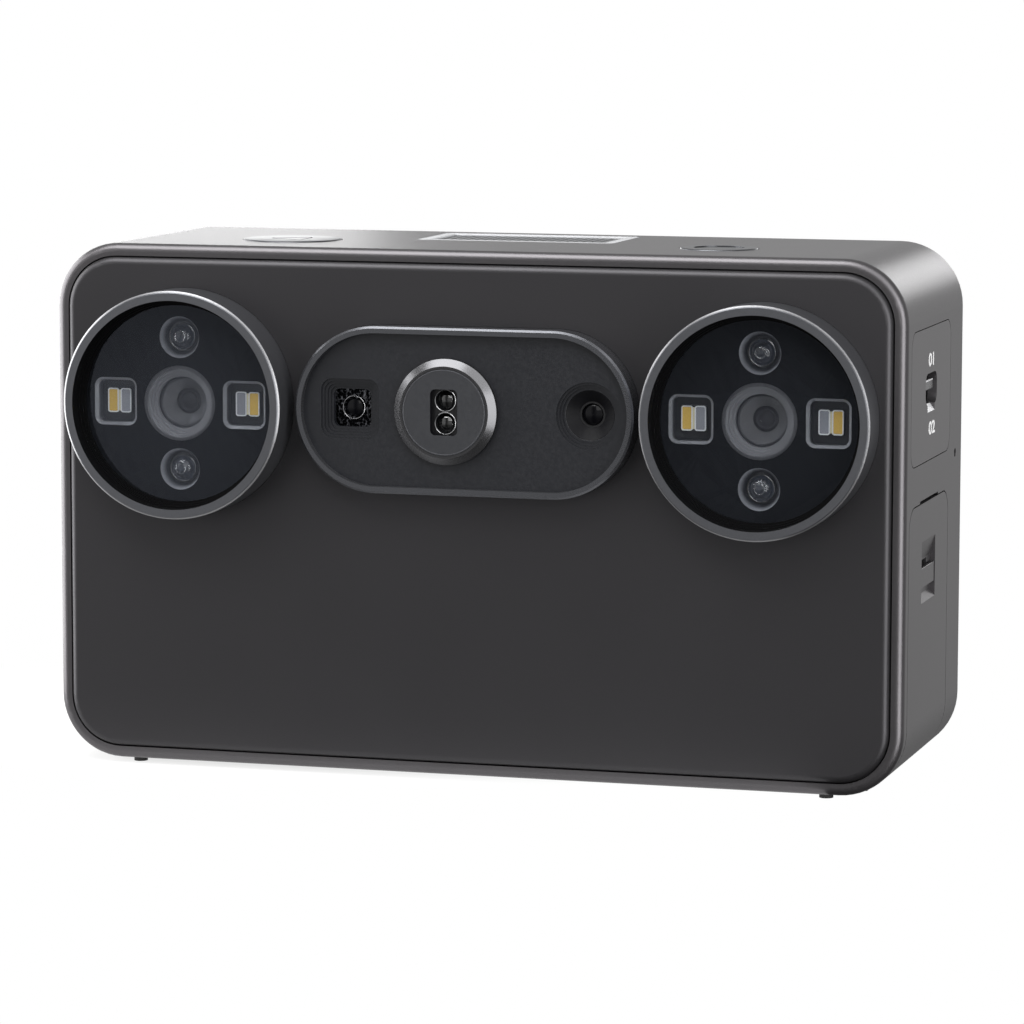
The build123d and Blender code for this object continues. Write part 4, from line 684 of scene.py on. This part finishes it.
# Bar panel: a smooth black polycarbonate plate on a shoulder in the bezel, with the stepped openings
# of the dot projector and the colour camera moulded into it.
bar_finish = grained_surface(
    "smooth_black_polycarbonate", "131418", "18191d", 0.38, grain_mm=0.5, relief_mm=0.008
)
dress(bar_finish, "bar_panel")

# Projector: a turned aluminium ring with a broad cut chamfer round a dark face plate. Two dense
# glass lenses look out through the slot, on a black body that runs back through the chassis. A
# near black sheet on the slot's walls paints the shade in the slot.
ring_finish = satin_metal("turned_aluminium_ring", "58585a", "646466", 0.27, dent_mm=0.12)
face_finish = grained_surface(
    "satin_face_plate", "242528", "2a2b2e", 0.42, grain_mm=0.5, relief_mm=0.006
)
dress(ring_finish, "projector_ring")
dress(face_finish, "projector_face")
dress(grained_surface("black_projector_body", "0a0a0b", "121214", 0.35), "projector_body")
dress(clear_optic("dense_lens_glass", "f2f4f6", 1.85), "projector_lenses")
# Painted shade: a near black sheet over the slot's walls
slot_shade_finish = grained_surface(
    "slot_painted_shade", "0e0e10", "141416", 0.6, grain_mm=0.3, relief_mm=0.003, ior=1.05
)
face_low, face_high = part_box("projector_face")
projector_x = (face_low.x + face_high.x) / 2
aperture_width, aperture_height, aperture_corner = 4.8 * mm, 7.8 * mm, 0.9 * mm
liner_gap, liner_thick, liner_inset = 0.02 * mm, 0.04 * mm, 0.1 * mm
liner = bmesh.new()
frame_wall(
    liner,
    projector_x,
    optics_z,
    aperture_width - liner_gap,
    aperture_height - liner_gap,
    aperture_corner,
    liner_thick,
    face_low.y + liner_inset,
    face_high.y,
)
piece("projector_slot_shade_sheet", liner, slot_shade_finish, "scanner")
lens_low, lens_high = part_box("projector_lenses")
projector_lens_radius = 1.75 * mm
lens_reach = (lens_high.z - lens_low.z) / 2 - projector_lens_radius
lens_bead_radius, lens_bead_half = 1.84, 0.1  # in millimetres
lens_bead = bead_profile(lens_bead_radius, lens_bead_half, face_high.y / mm - lens_bead_half)
lens_beads = bmesh.new()
for up in (-1, 1):
    turn(lens_beads, lens_bead, projector_x, optics_z + up * lens_reach, segments=48)
piece("projector_lens_beads", lens_beads, bead_finish, "scanner")
face_line_radius, face_line_half = 7.15, 0.05  # in millimetres
# Painted highlight: the ring round the face is drawn lighter than the face plate, for the light its
# edge catches
face_line_highlight_finish = grained_surface("face_bead_painted_highlight", "3c3d41", "46474b", 0.3, relief_mm=0.002)
face_line_bead = bead_profile(face_line_radius, face_line_half, face_low.y / mm)
face_line = bmesh.new()
turn(face_line, face_line_bead, projector_x, optics_z, segments=96)
piece("projector_face_line", face_line, face_line_highlight_finish, "scanner")

# Dot projector: a small square module behind the stepped opening, its top of etched dark metal with
# bright flecks, round a black lens in a polished bead.
fleck_size = 0.45 * mm
fleck_depth = 0.2 * mm
module_finish = blank_material("etched_dark_metal")
module_place = add_node(module_finish, "TexCoord").outputs["Object"]
flecks = add_node(
    module_finish, "TexVoronoi", {"Vector": module_place, "Scale": 1 / fleck_size}, feature="F1"
).outputs["Distance"]
fleck_edges = add_node(
    module_finish, "MapRange", {"Value": flecks, "From Min": 0.55, "From Max": 0.9}
)
module_colour = add_node(
    module_finish,
    "Mix",
    {"Factor": fleck_edges.outputs["Result"], "A": linear("0c0c0e"), "B": linear("6c6d72")},
    data_type="RGBA",
)
module_relief = add_node(
    module_finish, "Bump", {"Height": flecks, "Strength": 0.5, "Distance": fleck_depth}
)
module_shader = add_node(
    module_finish,
    "BsdfPrincipled",
    {
        "Base Color": module_colour.outputs["Result"],
        "Metallic": 1.0,
        "Roughness": 0.16,
        "Normal": module_relief.outputs["Normal"],
    },
)
add_node(module_finish, "OutputMaterial", {"Surface": module_shader.outputs["BSDF"]})
dress(module_finish, "dot_projector")
black_glass = grained_surface(
    "polished_black_glass", "050507", "08080c", 0.1, grain_mm=3.0, relief_mm=0.001, ior=1.28
)
dress(black_glass, "dot_lens", "colour_lens")
dot_low, dot_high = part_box("dot_lens")
dot_bead_radius, dot_bead_half = 1.95, 0.06  # in millimetres
dot_bead_profile = bead_profile(dot_bead_radius, dot_bead_half, dot_low.y / mm)
dot_bead = bmesh.new()
turn(dot_bead, dot_bead_profile, (dot_low.x + dot_high.x) / 2, optics_z)
piece("dot_lens_bead", dot_bead, bead_finish, "scanner")

# Colour camera: a small black camera module behind the stepped round opening, whose funnel is
# moulded in satin black.
dress(grained_surface("black_camera_module", "0c0c0d", "151517", 0.4), "colour_camera")
colour_finish = grained_surface(
    "satin_black_funnel", "101012", "161618", 0.4, relief_mm=0.002, ior=1.15
)
colour_low, colour_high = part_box("colour_lens")
# Radii, and places along the optical axis from the front of the lens, in millimetres
mouth_radius, throat_radius = 4.26, 2.28
skin_thick, skin_lift = 0.06, 0.02
mouth_place, throat_place = colour_low.y / mm - 1.54, colour_low.y / mm - 0.04
colour_profile = [
    (mouth_radius, mouth_place),
    (throat_radius, throat_place),
    (throat_radius - skin_thick, throat_place - skin_lift),
    (mouth_radius - skin_thick, mouth_place - skin_lift),
]
funnel = bmesh.new()
turn(funnel, colour_profile, (colour_low.x + colour_high.x) / 2, optics_z)
piece("colour_camera_funnel", funnel, colour_finish, "scanner")

# Buttons: two turned aluminium caps that stand a little proud of the top. The scan button has a
# triangle engraved in it and the power button is dished. Each presses a switch on a board below.
button_finish = satin_metal("anodised_aluminium_button", "56575a", "646568", 0.34)
dress(button_finish, "power_button")
scan_low, scan_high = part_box("scan_button")
scan_x = (scan_low.x + scan_high.x) / 2
scan_y = (scan_low.y + scan_high.y) / 2
scan_top = scan_high.z
cap_radius = 8.6 * mm
cap_segments = 96
edge_round = 0.3 * mm
edge_steps = 4
flange_radius = (scan_high.x - scan_low.x) / 2
flange_top = scan_top - 3.7 * mm
flange_bottom = flange_top - 1.0 * mm
stem_radius = 1.6 * mm
triangle_tip, triangle_base, triangle_half = 4.4 * mm, 2.6 * mm, 3.8 * mm
triangle_round = 0.7 * mm
triangle_steps = 6
groove_width = 0.42 * mm
groove_depth = 0.2 * mm


def level_ring(form, centre_x, centre_y, radius, z, count):
    """Adds a level ring of vertices to a form."""
    angles = [2 * math.pi * k / count for k in range(count)]
    return [
        form.verts.new((centre_x + radius * math.cos(a), centre_y + radius * math.sin(a), z))
        for a in angles
    ]


cap_profile = [
    (stem_radius, scan_low.z),
    (stem_radius, flange_bottom),
    (flange_radius, flange_bottom),
    (flange_radius, flange_top),
    (cap_radius, flange_top),
]
for k in range(edge_steps + 1):
    a = math.pi / 2 * k / edge_steps
    edge_reach = cap_radius - edge_round + edge_round * math.cos(a)
    cap_profile.append((edge_reach, scan_top - edge_round + edge_round * math.sin(a)))
cap = bmesh.new()
cap_rings = [level_ring(cap, scan_x, scan_y, radius, z, cap_segments) for radius, z in cap_profile]
for lower, upper in zip(cap_rings, cap_rings[1:]):
    join_rings(cap, lower, upper)
cap.faces.new(cap_rings[0])


def triangle_loop(form, offset, z):
    """A closed loop of the engraved triangle's outline, moved outwards by an offset, with round
    corners."""
    corners = [
        Vector((-triangle_tip, 0)),
        Vector((triangle_base, -triangle_half)),
        Vector((triangle_base, triangle_half)),
    ]
    points = []
    for k, corner in enumerate(corners):
        before = (corners[k - 1] - corner).normalized()
        after = (corners[(k + 1) % 3] - corner).normalized()
        middle = (before + after).normalized()
        half_angle = before.angle(after) / 2
        round_radius = triangle_round + offset
        centre = corner + middle * (triangle_round / math.sin(half_angle))
        start = math.atan2(-middle.y, -middle.x) - (math.pi / 2 - half_angle)
        for step in range(triangle_steps + 1):
            a = start + 2 * (math.pi / 2 - half_angle) * step / triangle_steps
            points.append(centre + round_radius * Vector((math.cos(a), math.sin(a))))
    return [form.verts.new((scan_x + p.x, scan_y + p.y, z)) for p in points]


outside = triangle_loop(cap, groove_width / 2, scan_top)
outside_floor = triangle_loop(cap, groove_width / 2, scan_top - groove_depth)
inside_floor = triangle_loop(cap, -groove_width / 2, scan_top - groove_depth)
inside = triangle_loop(cap, -groove_width / 2, scan_top)
join_rings(cap, outside, outside_floor)
join_rings(cap, outside_floor, inside_floor)
join_rings(cap, inside_floor, inside)
cap.faces.new(inside)
top_edges = []
for loop in (cap_rings[-1], outside):
    for k in range(len(loop)):
        pair = (loop[k], loop[(k + 1) % len(loop)])
        top_edges.append(cap.edges.get(pair) or cap.edges.new(pair))
bmesh.ops.triangle_fill(cap, use_beauty=True, edges=top_edges, normal=(0, 0, 1))
scan_cap = piece("scan_button_cap", cap, button_finish, "scan_button")
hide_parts("scan_button")
switch_finish = grained_surface("black_switch_housing", "161617", "222224", 0.45)
dress(switch_finish, "scan_switch", "power_switch", "reset_switch", "mode_switch_body")

# Vent: a moulded frame glued into the top, with a punched steel mesh under it that keeps dust out of
# the fins.
dress(grained_surface("satin_vent_frame", "a6a7a9", "b4b5b7", 0.4), "vent_frame")
dress(satin_metal("punched_steel_mesh", "808183", "98999b", 0.4), "vent_mesh")

# Switch panel: a thin aluminium plate let into the right-hand end, with the slot of a two-way
# switch and a number printed above and below it. The slot's lower edge slopes, and a thin pale
# sheet on the slope paints the highlight it catches; a pale strip on the knob's top edge paints
# that edge's highlight.
side_panel_finish = satin_metal(
    "anodised_aluminium_switch_panel", "535153", "605e60", 0.36, metal=0.75
)
dress(side_panel_finish, "switch_panel")
dress(satin_metal("anodised_aluminium_knob", "68686a", "747476", 0.28), "mode_knob")
panel_low, panel_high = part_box("switch_panel")
panel_middle_y = (panel_low.y + panel_high.y) / 2
panel_middle_z = (panel_low.z + panel_high.z) / 2
print_ink = grained_surface("white_pad_print", "e4e4e4", "f2f2f2", 0.5)
number_size, number_weight, number_thick = 3.0 * mm, 0.08 * mm, 0.008 * mm
number_stretch = 1.8
number_turn = Matrix(((0, 0, 1, 0), (number_stretch, 0, 0, 0), (0, 1, 0, 0), (0, 0, 0, 1)))
upper_place = (panel_high.x, panel_middle_y + 0.15 * mm, panel_middle_z + 5.6 * mm)
lower_place = (panel_high.x, panel_middle_y + 0.8 * mm, panel_middle_z - 6.05 * mm)
for name, words, place in (("upper_number", "01", upper_place), ("lower_number", "02", lower_place)):
    words_curve = bpy.data.curves.new(name, "FONT")
    words_curve.body = words
    words_curve.size = number_size
    words_curve.offset = number_weight
    words_curve.align_x = "CENTER"
    words_curve.align_y = "CENTER"
    words_curve.extrude = number_thick
    words_object = bpy.data.objects.new(name, words_curve)
    words_object.matrix_world = Matrix.Translation(place) @ number_turn
    bpy.context.scene.collection.objects.link(words_object)
    words_curve.materials.append(print_ink)
    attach(words_object, "scanner")
# Painted highlight: pale sheets on the slot's slope and along the knob's top edge
painted_highlight_finish = grained_surface("pale_painted_highlight", "c6c6c8", "d4d4d6", 0.4, relief_mm=0.004)
slot_rise, slot_tall, slot_slope = 0.75 * mm, 5.4 * mm, 1.2 * mm
slot_foot = panel_middle_z + slot_rise - slot_tall / 2
ramp_half, ramp_thick = 2.95 * mm, 0.03 * mm
ramp_top = Vector((panel_high.x - 0.85 * mm, 0, slot_foot - 0.04 * mm))
ramp_end = Vector((panel_high.x - 0.03 * mm, 0, slot_foot - slot_slope + 0.02 * mm))
ramp_out = Vector((0.6, 0, 0.8)) * ramp_thick
ramp = bmesh.new()
ramp_corners = [
    ramp.verts.new(point + lift + Vector((0, panel_middle_y + side * ramp_half, 0)))
    for lift in (Vector(), ramp_out)
    for point, side in ((ramp_top, -1), (ramp_top, 1), (ramp_end, 1), (ramp_end, -1))
]
bmesh.ops.convex_hull(ramp, input=ramp_corners)
piece("switch_slot_ramp_highlight", ramp, painted_highlight_finish, "scanner")
knob_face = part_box("mode_knob")[1].x
knob_drop = 1.2 * mm  # from the top of the slot to the top of the knob
line_drop = 0.2 * mm
line_size = (0.06 * mm, 6.6 * mm, 0.18 * mm)
line_z = slot_foot + slot_tall - knob_drop - line_drop
line = bmesh.new()
block(line, (knob_face, panel_middle_y, line_z), line_size)
piece("mode_knob_highlight_line", line, painted_highlight_finish, "mode_switch")

# Battery door: a pressed aluminium shell that wraps round the lower corner, with a hinge on a steel
# pin and a sliding latch in a pocket.
dress(casing_finish, "battery_door", "door_latch")
dress(satin_metal("drawn_steel_pin", "a8a8aa", "b8b8ba", 0.25), "hinge_pin")

# Battery: a pack in a matt shrink sleeve, in a black nylon tray whose mouth faces the door. It stands
# against gold-plated spring blades.
dress(grained_surface("matt_shrink_sleeve", "2c2d30", "383a3e", 0.55, grain_mm=1.5), "battery_pack")
dress(grained_surface("black_nylon_tray", "161617", "212123", 0.5), "battery_tray")
dress(satin_metal("gold_plated_spring", "c09a4c", "d2ac5c", 0.22), "battery_contacts")

# Main board's pieces: a tinned shield can, a tinned wireless module and socket, soldered on, and an
# extruded aluminium heat sink under the vent.
tin_finish = satin_metal("tinned_steel", "a6a7a8", "b8b9ba", 0.3)
dress(tin_finish, "shield_can", "wireless_module", "usb_socket")
dress(satin_metal("extruded_aluminium_sink", "7c7d80", "8c8d90", 0.35), "heat_sink")

# Tripod insert: a turned steel bush pressed into the base, tapped for a quarter-inch camera screw
# with 20 turns to the inch.
insert_low, insert_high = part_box("tripod_insert")
insert_x = (insert_low.x + insert_high.x) / 2
insert_y = (insert_low.y + insert_high.y) / 2
insert_radius = (insert_high.x - insert_low.x) / 2
hole_radius = 2.6 * mm
thread_depth = 0.55 * mm
thread_pitch = 1.27 * mm
hole_length = 8.0 * mm
around, up_steps = 48, 96
run_out_steps = 6  # over which the thread fades at either end
bush = bmesh.new()
thread_rows = []
for row in range(up_steps + 1):
    z = insert_low.z + hole_length * row / up_steps
    run_out = min(1.0, row / run_out_steps) * min(1.0, (up_steps - row) / run_out_steps)
    thread_row = []
    for k in range(around):
        phase = ((z - insert_low.z) / thread_pitch - k / around) % 1.0
        radius = hole_radius + thread_depth * (1 - abs(2 * phase - 1)) * run_out
        a = 2 * math.pi * k / around
        thread_row.append(
            bush.verts.new((insert_x + radius * math.cos(a), insert_y + radius * math.sin(a), z))
        )
    thread_rows.append(thread_row)
for lower, upper in zip(thread_rows, thread_rows[1:]):
    join_rings(bush, lower, upper)
bush.faces.new(thread_rows[-1])
bush_rims = [
    level_ring(bush, insert_x, insert_y, insert_radius, z, around)
    for z in (insert_low.z, insert_high.z)
]
join_rings(bush, thread_rows[0], bush_rims[0])
join_rings(bush, bush_rims[0], bush_rims[1])
bush.faces.new(bush_rims[1])
bush_finish = satin_metal("turned_steel_bush", "9c9d9e", "aeafb0", 0.28)
threaded_bush = piece("threaded_bush", bush, bush_finish, "scanner")
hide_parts("tripod_insert")

# Feet: four small pegs of moulded black rubber, pressed into holes in the base. They keep the scanner
# from slipping.
dress(grained_surface("black_rubber_foot", "151515", "1f1f1f", 0.7), "feet")

# Floor: a plain sheet of white paper that the scanner stands on. The right-hand end stands out past
# its edge, so that the battery door can swing down. The sheet keeps the scanner's shadow in its
# middle and fades into the white backdrop at its edge, for the camera, for gloss and for glass.
floor_width, floor_depth, floor_corner = 0.2226, 0.13, 0.02
floor_place = (-0.0487, 0.03, -0.0001)  # a hair below the feet, so that no faces coincide
floor_form = bmesh.new()
floor_outline = round_corners(floor_width, floor_depth, floor_corner)
floor_form.faces.new([floor_form.verts.new((x, y, 0)) for x, y in floor_outline])
floor_mesh = bpy.data.meshes.new("floor")
floor_form.to_mesh(floor_mesh)
floor_form.free()
floor = bpy.data.objects.new("floor", floor_mesh)
bpy.context.scene.collection.objects.link(floor)
floor.location = floor_place
paper = blank_material("white_paper")
paper_shader = add_node(
    paper, "BsdfPrincipled", {"Base Color": linear("f4f4f2"), "Roughness": 0.9}
)
rays = add_node(paper, "LightPath")
gloss_or_glass = add_node(
    paper,
    "Math",
    {0: rays.outputs["Is Glossy Ray"], 1: rays.outputs["Is Transmission Ray"]},
    operation="MAXIMUM",
)
sighted = add_node(
    paper,
    "Math",
    {0: rays.outputs["Is Camera Ray"], 1: gloss_or_glass.outputs["Value"]},
    operation="MAXIMUM",
)
sheet_place = add_node(paper, "TexCoord").outputs["Object"]
across_sheet = add_node(
    paper, "Mapping", {"Vector": sheet_place, "Scale": (1 / floor_width, 1 / floor_depth, 1.0)}
)
from_middle = add_node(paper, "VectorMath", {0: across_sheet.outputs["Vector"]}, operation="LENGTH")
fade = add_node(
    paper,
    "MapRange",
    {
        "Value": from_middle.outputs["Value"],
        "From Min": 0.25,
        "From Max": 0.48,
        "To Min": 0.6,
        "To Max": 1.0,
    },
    interpolation_type="SMOOTHSTEP",
)
shown = add_node(
    paper, "Math", {0: sighted.outputs["Value"], 1: fade.outputs["Result"]}, operation="MULTIPLY"
)
white = add_node(paper, "Emission", {"Color": linear("ffffff"), "Strength": 1.0})
page = add_node(
    paper,
    "MixShader",
    {0: shown.outputs["Value"], 1: paper_shader.outputs["BSDF"], 2: white.outputs["Emission"]},
)
add_node(paper, "OutputMaterial", {"Surface": page.outputs["Shader"]})
floor_mesh.materials.append(paper)

# Studio: a white tent round the scanner, open and darker towards the camera, with soft boxes in its
# walls. The camera sees it as a plain white backdrop, and so do gloss and glass that look straight
# back.
scene = bpy.context.scene
world = bpy.data.worlds.new("tent")
world.use_nodes = True
world.node_tree.nodes.clear()
scene.world = world
direction = add_node(world, "TexCoord").outputs["Generated"]
heading = add_node(world, "SeparateXYZ", {0: direction})
behind = add_node(
    world,
    "MapRange",
    {"Value": heading.outputs["Y"], "From Min": -0.3, "From Max": 0.6, "To Min": 0.17, "To Max": 0.6},
    interpolation_type="SMOOTHSTEP",
)
leftward = add_node(
    world,
    "MapRange",
    {"Value": heading.outputs["X"], "From Min": -0.25, "From Max": -0.45, "To Max": 0.65},
)
rightward = add_node(
    world,
    "MapRange",
    {"Value": heading.outputs["X"], "From Min": -0.15, "From Max": 0.2, "To Max": 0.5},
    interpolation_type="SMOOTHSTEP",
)
sideward = add_node(
    world,
    "Math",
    {0: leftward.outputs["Result"], 1: rightward.outputs["Result"]},
    operation="ADD",
)
forward = add_node(
    world,
    "MapRange",
    {"Value": heading.outputs["Y"], "From Min": 0.0, "From Max": -0.4},
    interpolation_type="SMOOTHSTEP",
)
wall = add_node(
    world,
    "Math",
    {0: sideward.outputs["Value"], 1: forward.outputs["Result"], 2: behind.outputs["Result"]},
    operation="MULTIPLY_ADD",
)
ground = add_node(
    world,
    "MapRange",
    {"Value": heading.outputs["Z"], "From Min": -0.5, "From Max": 0.0, "To Min": 0.25},
    interpolation_type="SMOOTHSTEP",
)
tent = add_node(
    world, "Math", {0: wall.outputs["Value"], 1: ground.outputs["Result"]}, operation="MULTIPLY"
)
backdrop_way = (-0.279, 0.953, -0.122)
off_backdrop = add_node(world, "VectorMath", {0: direction, 1: backdrop_way}, operation="DISTANCE")
backdrop = add_node(
    world,
    "MapRange",
    {"Value": off_backdrop.outputs["Value"], "From Min": 0.2, "From Max": 0.13},
    interpolation_type="SMOOTHSTEP",
)
world_rays = add_node(world, "LightPath")
mirror_or_lens = add_node(
    world,
    "Math",
    {0: world_rays.outputs["Is Glossy Ray"], 1: world_rays.outputs["Is Transmission Ray"]},
    operation="MAXIMUM",
)
mirrored = add_node(
    world,
    "Math",
    {0: mirror_or_lens.outputs["Value"], 1: backdrop.outputs["Result"]},
    operation="MULTIPLY",
)
seen = add_node(
    world,
    "Math",
    {0: world_rays.outputs["Is Camera Ray"], 1: mirrored.outputs["Value"]},
    operation="MAXIMUM",
)
level = add_node(
    world,
    "Mix",
    {"Factor": seen.outputs["Value"], "A": tent.outputs["Value"], "B": 1.0},
    data_type="FLOAT",
)
cloth = add_node(
    world, "Background", {"Color": linear("ffffff"), "Strength": level.outputs["Result"]}
)
add_node(world, "OutputWorld", {"Surface": cloth.outputs["Background"]})
scanner_middle = Vector((0, 0, 0.05))


def soft_box(name, way, reach, width, height, radiance):
    """A soft box that faces the scanner's middle from a direction, as bright as white paper times
    radiance."""
    lamp = bpy.data.lights.new(name, "AREA")
    lamp.shape = "RECTANGLE"
    lamp.size = width
    lamp.size_y = height
    lamp.energy = radiance * math.pi * width * height
    box = bpy.data.objects.new(name, lamp)
    away = Vector(way).normalized()
    box.location = scanner_middle + away * reach
    box.rotation_euler = away.to_track_quat("Z", "Y").to_euler()
    box.visible_camera = False
    scene.collection.objects.link(box)


soft_box("top_box", (-0.26, -0.45, 0.9), reach=0.5, width=0.4, height=0.36, radiance=6.5)
soft_box("right_box", (0.82, -0.57, 0.0), reach=0.45, width=0.28, height=0.4, radiance=4.2)
soft_box("left_box", (-1.0, -0.02, 0.1), reach=0.45, width=0.5, height=0.45, radiance=5.0)
soft_box("rim_box", (0.23, 0.95, 0.26), reach=0.7, width=0.2, height=0.16, radiance=3.0)
soft_box("back_box", (-0.566, 0.815, 0.12), reach=0.7, width=0.37, height=0.2, radiance=3.4)
soft_box("key_box", (0.4, -0.66, 0.62), reach=0.8, width=0.7, height=0.6, radiance=1.9)
scene.view_settings.view_transform = "Standard"

# Camera: a long lens from the right and a little above, as in the photograph. Its place, angles and
# focal length are fitted to the photograph's perspective.
camera_place = (0.22756, -0.77337, 0.14399)
camera_azimuth = math.radians(16.299)
camera_elevation = math.radians(7.065)
camera_roll = math.radians(0.109)
lens = bpy.data.cameras.new("camera")
lens.lens = 164.17
lens.sensor_width = 36.0
camera = bpy.data.objects.new("camera", lens)
camera.matrix_world = (
    Matrix.Translation(camera_place)
    @ Matrix.Rotation(camera_azimuth, 4, "Z")
    @ Matrix.Rotation(math.pi / 2 - camera_elevation, 4, "X")
    @ Matrix.Rotation(camera_roll, 4, "Z")
)
scene.collection.objects.link(camera)
scene.camera = camera
